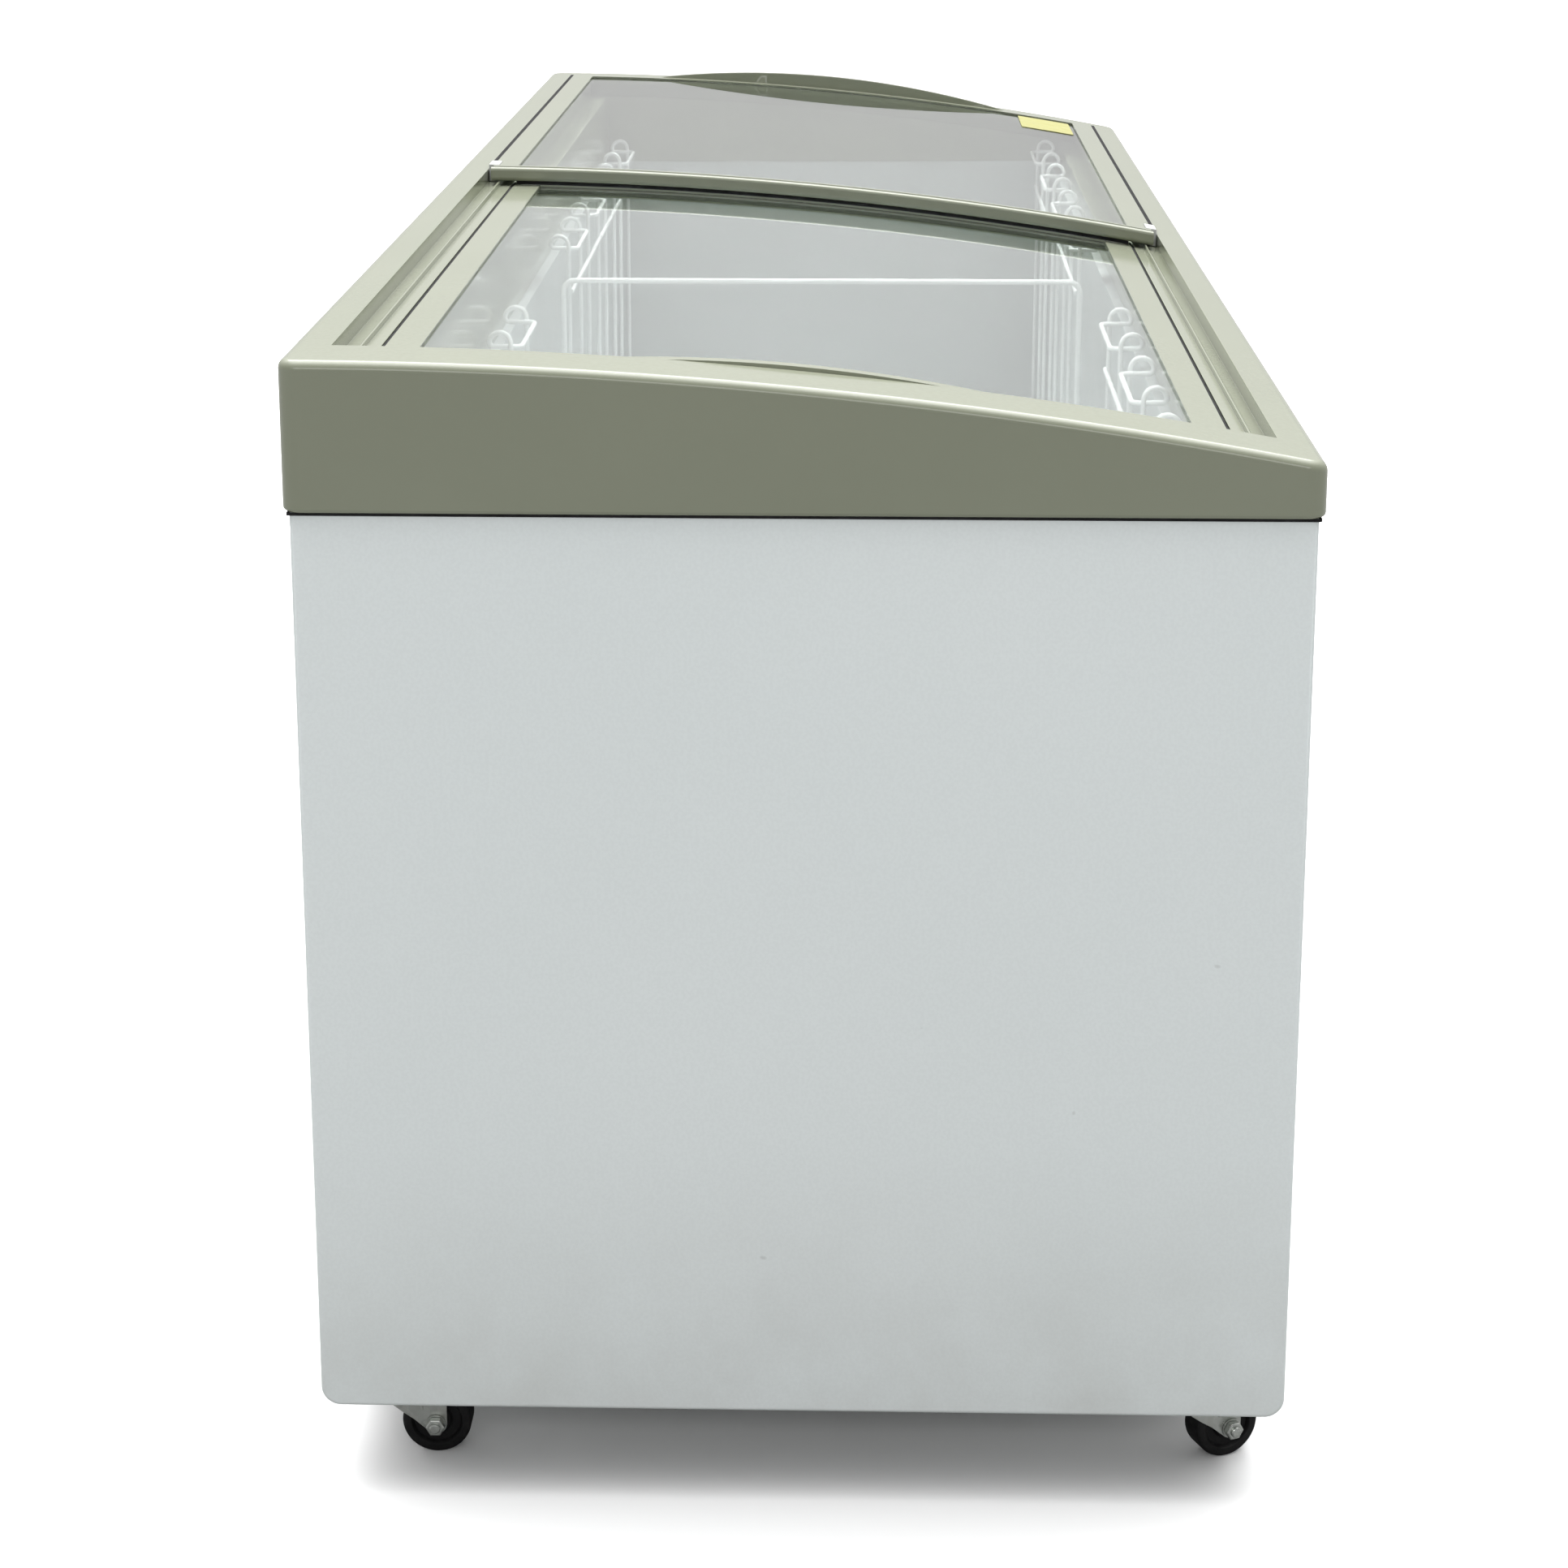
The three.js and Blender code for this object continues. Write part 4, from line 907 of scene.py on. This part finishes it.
def frame_ring(sizes):
    """A flat ring for a lid frame, cut through and grooved for the glass."""
    x0, x1, half, bottom, top, inner, bars = sizes

    def block(mesh):
        box_into(mesh, (x0, -half, bottom), (x1, half, top))
        bevel_edges(mesh, lambda a, b: abs(a.z - b.z) > MM, 2.5 * MM, 4)

    def window(mesh):
        outline = rounded_rectangle(x0 + bars[0], x1 - bars[1], -inner, inner, 2.0 * MM, 4)
        prism_into(mesh, outline, "z", bottom - 0.01, top + 0.01)

    def groove(mesh):
        box_into(mesh, *glass_box(sizes, CLEARANCE))

    return block, window, groove


def crescent(x0, lid_top):
    """The raised crescent at a lid's outer end."""
    def build(mesh):
        steps = 36
        crest = []
        for i in range(steps + 1):
            y = GRIP_HALF * (1 - 2 * i / steps)
            crest.append((y, lid_top + GRIP_HEIGHT * (1 - (y / GRIP_HALF) ** 2)))
        foot = [(-GRIP_HALF, lid_top - 2 * MM), (GRIP_HALF, lid_top - 2 * MM)]
        prism_into(mesh, crest + foot, "x", x0, x0 + GRIP_THICKNESS)

    return build


def lid_frame(name, body, sizes, grip_x, notches=()):
    block, window, groove = frame_ring(sizes)
    piece = solid(name, block, MATERIALS["lid_frame_plastic"])
    join(piece, crescent(grip_x, sizes[4]))
    cut(piece, window)
    cut(piece, groove)
    for notch in notches:
        cut(piece, notch)
    bevel(piece, 0.6 * MM, 2)
    bend(piece)
    smooth(piece)
    place(piece, body, "lid_frame_plastic", f"{body}_frame")


def pane(name, body, sizes):
    """One curved pane, held in the frame's groove, with ground edges."""
    def build(mesh):
        box_into(mesh, *glass_box(sizes))

    piece_of(name, body, "lid_glass", build, [f"{body}_glass"], 0.5 * MM, 2, True)


LOWER_SIZES = (
    LOWER_FRAME[0].x, LOWER_FRAME[1].x, LOWER_FRAME[1].y, LOWER_BOTTOM, LOWER_TOP, LOWER_INNER,
    (END_BAR, END_BAR),
)
UPPER_SIZES = (
    UPPER_FRAME[0].x, UPPER_FRAME[1].x, UPPER_FRAME[1].y, UPPER_BOTTOM, UPPER_TOP, UPPER_INNER,
    (THIN_BAR, END_BAR),
)


def clip_notch(side):
    def build(mesh):
        gap = CLEARANCE
        near, far = side * (CLIP_REAR[0].y - gap), side * (CLIP_REAR[1].y + 0.01)
        box_into(mesh, (CLIP_REAR[0].x - gap, near, -PAST), (CLIP_REAR[1].x + gap, far, PAST))

    return build


def handle_bar(mesh):
    """The pull bar, drawn as its section in x and height: a proud lip above a rounded front."""
    x0, x1 = HANDLE[0].x, HANDLE[1].x
    top, bottom = HANDLE_TOP, UPPER_BOTTOM
    outline = [(x1, top - 1.5 * MM), (x1, bottom), (x0 + 5 * MM, bottom)]
    outline += arc(x0 + 4 * MM, bottom + 4 * MM, 4 * MM, -90, -180, 6)
    outline += arc(x0 + 3.0 * MM, top - 3.0 * MM, 3.0 * MM, 180, 90, 6)
    outline += [(x0 + 7 * MM, top), (x0 + 8 * MM, top - 1.5 * MM)]
    half = HANDLE[1].y
    prism_into(mesh, outline, "y", -half, half)
    bevel_edges(mesh, lambda a, b: min(abs(a.y), abs(b.y)) > half - MM, 2.2 * MM, 4)


def wiper_seal(mesh):
    """A strip with two lips, under the pull bar."""
    x0, x1, half = SEAL[0].x, SEAL[1].x, SEAL[1].y
    low, high = -11.2 * MM, -8.0 * MM
    root = low + 1.2 * MM
    lips = [(x0, high), (x0, root), (x0 + 1.5 * MM, low), (x0 + 3.0 * MM, root)]
    lips += [(x1 - 1.5 * MM, low), (x1, root), (x1, high)]
    prism_into(mesh, lips, "y", -half, half)


def slide_clip(side):
    def build(mesh):
        near, far = side * CLIP_REAR[0].y, side * CLIP_REAR[1].y
        box_into(mesh, (CLIP_REAR[0].x, near, CLIP_BOTTOM), (CLIP_REAR[1].x, far, HANDLE_TOP))

    return build


def side_pile_and_shade(x0, x1, reach, heights):
    """Black pile strips in the gaps between a lid and the collar: seals that also paint the shade in those
    gaps.
    """
    def build(mesh):
        for side in (-1, 1):
            near, far = side * reach[0], side * reach[1]
            box_into(mesh, (x0, near, heights[0]), (x1, far, heights[1]))

    return build


def sticker(mesh):
    bottom = UPPER_TOP - GLASS_BELOW_TOP + 0.3 * MM
    outline = rounded_rectangle(LABEL[0].x, LABEL[1].x, LABEL[0].y, LABEL[1].y, 3 * MM, 5)
    prism_into(mesh, outline, "z", bottom, bottom + 0.4 * MM)


def add_lids():
    lid_frame("lower_lid_surround", "lower_lid", LOWER_SIZES, LOWER_SIZES[0])
    lid_frame(
        "upper_lid_surround", "upper_lid", UPPER_SIZES, UPPER_SIZES[1] - GRIP_THICKNESS,
        (clip_notch(1), clip_notch(-1)),
    )
    pane("lower_lid_pane", "lower_lid", LOWER_SIZES)
    pane("upper_lid_pane", "upper_lid", UPPER_SIZES)
    upper = "upper_lid"
    piece_of("pull_bar", upper, "lid_frame_plastic", handle_bar, ["upper_lid_handle"], bent=True)
    piece_of("wiper_seal", upper, "seal_rubber", wiper_seal, ["upper_lid_seal"], 0.3 * MM, 1, True)
    for name, side in (("front", -1), ("rear", 1)):
        node = f"upper_lid_clip_{name}"
        piece_of(f"slide_clip_{name}", upper, "white_plastic", slide_clip(side), [node], 1.2 * MM, 3, True)
    # Pile strips along both lids' sides: seals, and partly painted shade that darkens the gaps beside the
    # lids.
    ends = (LOWER_FRAME[0].x + 4 * MM, LOWER_FRAME[1].x - 4 * MM)
    pile_and_shade = side_pile_and_shade(*ends, LOWER_PILE_AND_SHADE, (-24.5 * MM, LOWER_TOP - PILE_AND_SHADE_BELOW_TOP))
    piece_of("lower_lid_pile_and_shade", "lower_lid", "seal_rubber", pile_and_shade, (), 0.3 * MM, 1, True)
    ends = (CLIP_REAR[1].x + MM, UPPER_FRAME[1].x - 4 * MM)
    pile_and_shade = side_pile_and_shade(*ends, UPPER_PILE_AND_SHADE, (-7.2 * MM, UPPER_TOP - PILE_AND_SHADE_BELOW_TOP))
    piece_of("upper_lid_pile_and_shade", upper, "seal_rubber", pile_and_shade, (), 0.3 * MM, 1, True)
    piece_of("lid_sticker", upper, "label_film", sticker, ["upper_lid_label"], bent=True)


# ---- Wire racks ----

WIRE = 4 * MM
RACK_FLOOR = 162 * MM
STEP_RACK_FLOOR = 406 * MM
RIM_LEVEL = 733 * MM
LOOP_LENGTH = 110 * MM
LOOP_PITCH = 212 * MM
LOOP_INNER = 238 * MM
LEG = 246 * MM
ARCH_RADIUS = 9 * MM
RACKS = {"left": (-835 * MM, 3), "right": (90 * MM, 4)}
RUNNERS = (430 * MM, 690 * MM)
STEP_X = 545 * MM


def rack_loop(side, x, floor):
    """One wire: up the wall, over in an arch, in and along the rim as a U, and back the same way."""
    shift = WIRE + MM
    low = RIM_LEVEL - 3 * MM
    wall = LEG + 2 * ARCH_RADIUS
    half = [(x - shift, LEG, floor)]
    steps = 10
    for i, (d, z) in enumerate(arc(LEG + ARCH_RADIUS, RIM_LEVEL, ARCH_RADIUS, 180, 0, steps)):
        half.append((x - shift + shift * i / steps, d, z))
    half += [(x, wall - 2 * MM, low), (x, LOOP_INNER, low)]
    other = [(2 * x + LOOP_LENGTH - px, d, z) for px, d, z in reversed(half)]
    return filleted([(px, side * d, z) for px, d, z in half + other], 7 * MM)


def add_racks():
    for name, (start, loops) in RACKS.items():
        for row, side in (("front", -1), ("rear", 1)):
            paths = []
            low = start - 8 * MM
            high = start + LOOP_PITCH * (loops - 1) + LOOP_LENGTH + 8 * MM
            for i in range(loops):
                x = start + LOOP_PITCH * i
                floor = STEP_RACK_FLOOR if x + LOOP_LENGTH > STEP_X - 20 * MM else RACK_FLOOR
                paths.append(rack_loop(side, x, floor))
            d = side * (LEG - WIRE / 2 - 0.6 * MM)
            for z in RUNNERS:
                paths.append([(low, d, z), (high, d, z)])
            foot = RACK_FLOOR + 10 * MM
            paths.append([(low, d, foot), (min(high, STEP_X - 12 * MM), d, foot)])
            rack = wires(f"rack_wires_{row}_{name}", paths, WIRE, MATERIALS["coated_wire"])
            place(rack, "cabinet", "coated_wire", f"wire_rack_{row}_{name}")


def add_cross_rail():
    low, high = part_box("wire_cross_rail")
    x = (low.x + high.x) / 2
    diameter = high.x - low.x
    half = high.y - diameter / 2
    top = high.z - diameter / 2
    floor = low.z
    path = filleted([(x, half, floor), (x, half, top), (x, -half, top), (x, -half, floor)], 12 * MM, 8)
    rail = wires("divider_wire", [path], diameter, MATERIALS["coated_wire"])
    place(rail, "cabinet", "coated_wire", "wire_cross_rail")


# ---- Casters ----

RACE_BOTTOM = 60 * MM
TRAIL = 20 * MM
WHEEL_RADIUS = 25 * MM
FORK_INNER = 12 * MM
FORK_OUTER = 14.5 * MM
AXLE_RADIUS = 4 * MM
HEX = 7 * MM
WASHER_RADIUS = 7.4 * MM
BOSS = 8 * MM
PLATE_TOP = 68.7 * MM
PLATE_HALF = 30 * MM
BOLT_PLACE = 24 * MM
SWIVELLED = {"front_left": 25.0}


def caster_wheel(mesh):
    """A wheel with a hub, a recessed web and a rounded tread, turned as one profile."""
    half = 10 * MM
    bore = AXLE_RADIUS + 0.3 * MM
    tread = 2.5 * MM
    right = [(bore, half + MM), (9 * MM, half + MM), (10.2 * MM, half - 0.2 * MM), (11 * MM, half - 3 * MM)]
    right += [(17 * MM, half - 3 * MM), (17.8 * MM, half - 0.8 * MM), (18.6 * MM, half)]
    right += [(WHEEL_RADIUS - tread + r, half - tread + h) for r, h in arc(0, 0, tread, 90, 0, 6)]
    left = [(r, -h) for r, h in reversed(right)]
    lathe_into(mesh, right + left, "x", (0, -TRAIL, WHEEL_RADIUS), 96)


def caster_plate(mesh):
    """Top plate, the swivel race's cup and four bolts."""
    top, half = PLATE_TOP, PLATE_HALF
    prism_into(mesh, rounded_rectangle(-half, half, -half, half, 6 * MM), "z", top - 3 * MM, top)
    cup = [(0, top - 1.5 * MM), (0, RACE_BOTTOM + 1.2 * MM), (15 * MM, RACE_BOTTOM + 1.2 * MM)]
    cup += [(16.5 * MM, RACE_BOTTOM), (19.5 * MM, RACE_BOTTOM)]
    cup += [(21 * MM, RACE_BOTTOM + 1.5 * MM), (21 * MM, RACE_BOTTOM + 3.5 * MM), (19.6 * MM, top - 1.5 * MM)]
    lathe_into(mesh, cup, "z", (0, 0, 0), 64)
    for i in (-1, 1):
        for j in (-1, 1):
            bolt = (i * BOLT_PLACE, j * BOLT_PLACE, 0)
            hex_head(mesh, "z", bolt, 5 * MM, top - 6.6 * MM, top - 2.9 * MM)


def hex_head(mesh, axis, centre, radius, low, high):
    """A hexagon head with its corners turned down at both ends."""
    chamfer = 0.12 * (high - low)
    sides = 6
    profile = [(0, low), (radius * 0.86, low), (radius, low + chamfer), (radius, high - chamfer)]
    profile += [(radius * 0.86, high), (0, high)]
    lathe_into(mesh, profile, axis, centre, sides)


def caster_fork(mesh):
    """Crown, king pin's rivet, two pressed legs with a rib on each, and the web between them."""
    top = RACE_BOTTOM - 0.3 * MM
    crown = [(0, top), (15 * MM, top), (17.5 * MM, top - 0.6 * MM), (19 * MM, top - 2.2 * MM)]
    crown += [(19 * MM, top - 4 * MM), (0, top - 4 * MM)]
    lathe_into(mesh, crown, "z", (0, 0, 0), 64)
    rivet = [(0, top - 3 * MM), (6 * MM, top - 3.4 * MM), (5.4 * MM, top - 6 * MM), (3 * MM, top - 7 * MM)]
    rivet += [(0, top - 7.2 * MM)]
    lathe_into(mesh, rivet, "z", (0, 0, 0), 32)
    leg = [(13 * MM, top - MM), (-TRAIL - BOSS, top - MM)]
    leg += arc(-TRAIL, WHEEL_RADIUS, BOSS, 180, 318, 14)
    leg += [(-4 * MM, 28.5 * MM), (4 * MM, 34 * MM), (13 * MM, 41 * MM)]
    for side in (-1, 1):
        prism_into(mesh, leg, "x", side * FORK_INNER, side * FORK_OUTER)
    box_into(mesh, (-FORK_OUTER, -24 * MM, top - 4 * MM), (FORK_OUTER, 16 * MM, top - MM))
    rib = [(-6 * MM, top - 1.2 * MM), (-9 * MM, top - 1.2 * MM), (-11 * MM, 36 * MM), (-9 * MM, 36 * MM)]
    for side in (-1, 1):
        prism_into(mesh, rib, "x", side * (FORK_OUTER - 0.5 * MM), side * (FORK_OUTER + 1.2 * MM))


def caster_axle(mesh):
    """A bolt with washers, its head and its nut."""
    side = FORK_OUTER + 0.3 * MM
    centre = (0, -TRAIL, WHEEL_RADIUS)
    pin = [(0, -side - 8 * MM), (3.2 * MM, -side - 8 * MM), (AXLE_RADIUS, -side - 7.2 * MM)]
    pin += [(AXLE_RADIUS, side + 2 * MM), (0, side + 2 * MM)]
    lathe_into(mesh, pin, "x", centre, 32)
    for low, high in ((-side - MM, -side), (side, side + MM)):
        bore = AXLE_RADIUS - 0.2 * MM
        washer = [(bore, low), (WASHER_RADIUS, low), (WASHER_RADIUS, high), (bore, high)]
        lathe_into(mesh, washer, "x", centre, 40)
    hex_head(mesh, "x", centre, HEX, -side - 6 * MM, -side - MM)
    hex_head(mesh, "x", centre, HEX, side + MM, side + 5 * MM)


def add_casters():
    for corner in ("front_left", "front_right", "rear_left", "rear_right"):
        low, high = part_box(f"caster_plate_{corner}")
        stand = Matrix.Translation(((low.x + high.x) / 2, (low.y + high.y) / 2, 0))
        turned = stand @ Matrix.Rotation(math.radians(SWIVELLED.get(corner, 0.0)), 4, "Z")

        def built(build, move=turned):
            def made(mesh):
                build(mesh)
                mesh.transform(move)
            return made

        swivel, roller = f"caster_swivel_{corner}", f"caster_roller_{corner}"
        piece_of(
            f"top_plate_{corner}", "cabinet", "caster_zinc", built(caster_plate, stand),
            [f"caster_plate_{corner}"], 0.4 * MM,
        )
        piece_of(
            f"fork_{corner}", swivel, "caster_zinc", built(caster_fork), [f"caster_fork_{corner}"], 0.4 * MM,
        )
        piece_of(
            f"axle_bolt_{corner}", swivel, "caster_zinc", built(caster_axle), [f"caster_axle_{corner}"],
            0.25 * MM,
        )
        piece_of(
            f"wheel_{corner}", roller, "wheel_plastic", built(caster_wheel), [f"caster_wheel_{corner}"],
        )


# ---- Tank, vents, controls and mains inlet ----

TANK_FLOOR = 150 * MM
STEP_FLOOR = 400 * MM
LINER_SHEET = 1.2 * MM
TANK_BEND = 16 * MM
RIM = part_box("liner_wall_rear")
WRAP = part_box("liner_wrap")
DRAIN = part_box("drain_tube")


def tank_into(grow, top, bend_radius):
    """The tank's volume with its step, its edges below the top rounded."""
    def build(mesh):
        end = TANK_HALF_LENGTH + grow
        outline = [(-end, TANK_FLOOR - grow), (STEP_X + grow, TANK_FLOOR - grow)]
        outline += [(STEP_X + grow, STEP_FLOOR - grow), (end, STEP_FLOOR - grow), (end, top), (-end, top)]
        half = TANK_HALF_WIDTH + grow
        prism_into(mesh, outline, "y", -half, half)
        if bend_radius:
            bevel_edges(mesh, lambda a, b: min(a.z, b.z) < top - MM, bend_radius, 6)

    return build


def add_tank():
    """One tub: walls, floor and step with rounded bends, and a flange under the collar."""
    rim_x, rim_y, rim_top = WRAP[1].x, RIM[1].y, RIM[1].z
    tub = solid("tank_tub", tank_into(LINER_SHEET, rim_top, 0.0), MATERIALS["liner_sheet"])
    join(tub, lambda mesh: box_into(
        mesh, (-rim_x, -rim_y, rim_top - LINER_SHEET), (rim_x, rim_y, rim_top),
    ))
    cut(tub, tank_into(0.0, rim_top + PAST, TANK_BEND))
    x = (DRAIN[0].x + DRAIN[1].x) / 2
    hole = (DRAIN[1].x - DRAIN[0].x) / 2 - 7.5 * MM
    circle = arc(x, 0, hole, 0, 345, 23)
    cut(tub, lambda mesh: prism_into(mesh, circle, "z", TANK_FLOOR - PAST / 2, TANK_FLOOR + PAST / 2))
    bevel(tub, 0.5 * MM, 1, 50.0)
    smooth(tub)
    place(tub, "cabinet", "liner_sheet", "liner_wrap", "liner_wall_front", "liner_wall_rear")


SLOTS = 11
SLOT_MARGIN = 12 * MM
CONTROLS_WIDTH = 52 * MM
KNOB = (836 * MM, 290 * MM)
KNOB_RADIUS = 15 * MM
LAMP = (836 * MM, 245 * MM)
LAMP_RADIUS = 4 * MM


def screw_into(mesh, x, z, face, side):
    """A pan-head screw, 6.4 mm across."""
    rise = [(0, 1.9), (1.6, 1.75), (2.7, 1.2), (3.2, 0.3), (3.2, -0.6), (0, -0.6)]
    profile = [(r * MM, side * h * MM) for r, h in rise]
    lathe_into(mesh, profile, "y", (x, face, z), 24)


def vent_grille(name, side):
    """Pressed louvres: a plate with rounded slots and a blade slanting down behind each."""
    low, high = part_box(f"vent_grille_{name}")
    inner, outer = (low.y, high.y) if side > 0 else (high.y, low.y)
    x0, x1 = low.x + VENT_LAP, high.x - VENT_LAP
    z0, z1 = low.z + VENT_LAP, high.z - VENT_LAP
    slot_low = x0 + SLOT_MARGIN
    slot_high = x1 - (SLOT_MARGIN if side > 0 else CONTROLS_WIDTH)
    pitch = (z1 - z0) / SLOTS
    heights = [z0 + pitch * (i + 0.5) for i in range(SLOTS)]
    material = MATERIALS["grey_plastic"]

    def plate(mesh):
        outline = rounded_rectangle(low.x, high.x, low.z, high.z, 5 * MM)
        prism_into(mesh, outline, "y", inner, outer)

    def slots(mesh):
        for z in heights:
            outline = rounded_rectangle(slot_low, slot_high, z - pitch / 4, z + pitch / 4, pitch * 0.24)
            prism_into(mesh, outline, "y", low.y - 0.01, high.y + 0.01)

    def controls(mesh):
        prism_into(mesh, arc(*KNOB, KNOB_RADIUS + 3 * MM, 0, 352.5, 47), "y", low.y - 0.01, high.y + 0.01)
        prism_into(mesh, arc(*LAMP, LAMP_RADIUS + 0.3 * MM, 0, 345, 23), "y", low.y - 0.01, high.y + 0.01)

    grille = solid(f"louvre_{name}", plate, material)
    cut(grille, slots)
    if side < 0:
        cut(grille, controls)
    bevel(grille, 0.8 * MM, 2, 50.0)
    smooth(grille)
    place(grille, "cabinet", "grey_plastic", f"vent_grille_{name}")

    def blades(mesh):
        back = inner - side * 9 * MM
        for z in heights:
            top, bottom = z + pitch / 4, z - pitch / 4
            outline = [(inner, top + MM), (inner, top - 0.8 * MM)]
            outline += [(back, bottom - MM), (back, bottom + 0.8 * MM)]
            prism_into(mesh, outline, "x", slot_low - MM, slot_high + MM)

    piece_of(f"louvre_blades_{name}", "cabinet", "grey_plastic", blades, (), 0.2 * MM, 1)

    edge = VENT_LAP * 0.75
    corners = [(x, z) for x in (low.x + edge, high.x - edge) for z in (low.z + edge, high.z - edge)]

    def screws(mesh):
        for x, z in corners:
            screw_into(mesh, x, z, outer, side)

    def driver_slots(mesh):
        middle = outer + side * 4 * MM
        half = Vector((2.4 * MM, 3 * MM, 0.4 * MM))
        for x, z in corners:
            centre = Vector((x, middle, z))
            box_into(mesh, centre - half, centre + half)

    piece = solid(f"louvre_screws_{name}", screws, MATERIALS["caster_zinc"])
    cut(piece, driver_slots)
    smooth(piece)
    place(piece, "cabinet", "caster_zinc")


def add_controls():
    """A fluted knob with a pointer in a ring of marks, and the lamp's lens."""
    front, back = (corner.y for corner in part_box("thermostat_knob"))
    x, z = KNOB
    flutes = 24

    def knob(mesh):
        steps = flutes * 6
        rim = []
        for i in range(steps):
            angle = 2 * math.pi * i / steps
            radius = KNOB_RADIUS - 0.35 * MM * (1 - math.cos(flutes * angle))
            rim.append((x + radius * math.cos(angle), z + radius * math.sin(angle)))
        prism_into(mesh, rim, "y", front + 3 * MM, back)

    def grip(mesh):
        outline = rounded_rectangle(x - 2.5 * MM, x + 2.5 * MM, z - 12 * MM, z + 12 * MM, 2.4 * MM)
        prism_into(mesh, outline, "y", front, front + 5 * MM)

    def bore(mesh):
        prism_into(mesh, arc(*KNOB, 3.3 * MM, 0, 345, 23), "y", back - 6 * MM, back + 0.01)

    piece = solid("control_knob", knob, MATERIALS["black_plastic"])
    join(piece, grip)
    cut(piece, bore)
    bevel(piece, 0.6 * MM, 2, 50.0)
    smooth(piece)
    place(piece, "knob", "black_plastic", "thermostat_knob")

    def pointer(mesh):
        outline = rounded_rectangle(x - 0.6 * MM, x + 0.6 * MM, z + 4 * MM, z + 11 * MM, 0.5 * MM)
        prism_into(mesh, outline, "y", front - 0.1 * MM, front + 0.3 * MM)

    piece_of("knob_pointer", "knob", "white_plastic", pointer)

    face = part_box("vent_grille_front")[0].y

    def marks(mesh):
        count = 9
        for i in range(count):
            angle = math.radians(225 - 270 * i / (count - 1))
            along = Vector((math.cos(angle), math.sin(angle)))
            across = Vector((-along.y, along.x)) * 0.5 * MM
            near = Vector(KNOB) + along * 19.5 * MM
            far = Vector(KNOB) + along * (22.5 * MM if i % 2 else 23.5 * MM)
            corners = [near - across, far - across, far + across, near + across]
            prism_into(mesh, [tuple(c) for c in corners], "y", face - 0.3 * MM, face + 0.3 * MM)

    piece_of("dial_marks", "cabinet", "white_plastic", marks)

    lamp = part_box("pilot_lamp")

    def lens(mesh):
        tip, root = lamp[0].y, lamp[1].y
        profile = [(0, tip), (1.6 * MM, tip + 0.3 * MM), (2.9 * MM, tip + 1.1 * MM)]
        profile += [(3.7 * MM, tip + 2.3 * MM), (LAMP_RADIUS, tip + 3.6 * MM), (LAMP_RADIUS, root), (0, root)]
        lathe_into(mesh, profile, "y", (LAMP[0], 0, LAMP[1]), 32)

    piece_of("lamp_dome", "cabinet", "lamp_lens", lens, ["pilot_lamp"])


def add_inlet():
    """The mains lead's gland: a hexagon flange, a ring and an open bore."""
    low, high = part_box("mains_gland")
    x, z = (low.x + high.x) / 2, (low.z + high.z) / 2
    tip = high.y
    root = tip - 2 * MM
    material = MATERIALS["black_plastic"]

    def flange(mesh):
        prism_into(mesh, arc(x, z, 13 * MM, 0, 300, 5), "y", tip - 3.7 * MM, tip - 0.8 * MM)

    def ring(mesh):
        profile = [(9 * MM, low.y), (9 * MM, tip - 0.6 * MM), (8.2 * MM, tip), (5.4 * MM, tip)]
        profile += [(4.6 * MM, root), (4.6 * MM, low.y)]
        lathe_into(mesh, profile, "y", (x, 0, z), 40)

    def bore(mesh):
        prism_into(mesh, arc(x, z, 6.5 * MM, 0, 350, 35), "y", low.y - 0.01, high.y + 0.01)

    piece = solid("inlet_gland", flange, material)
    cut(piece, bore)
    join(piece, ring)
    bevel(piece, 0.4 * MM, 2, 50.0)
    smooth(piece)
    place(piece, "cabinet", "black_plastic", "mains_gland")


def add_fittings():
    vent_grille("front", -1)
    vent_grille("rear", 1)
    add_controls()
    add_inlet()


# ---- CAD nodes that stay ----

def finish_nodes():
    """Each CAD node takes its slot's material, since some still show."""
    for subpart in frame["record"]["subparts"]:
        node = frame["nodes"][subpart["node"]]
        material = MATERIALS[subpart["material_slot"]]
        if not node.data.materials:
            node.data.materials.append(material)
        for slot in node.material_slots:
            slot.material = material


add_camera()
add_world()
add_lights()
add_floor()
add_collar()
add_body()
add_lids()
add_racks()
add_cross_rail()
add_casters()
add_tank()
add_fittings()
finish_nodes()

SCENE.view_settings.view_transform = "Standard"
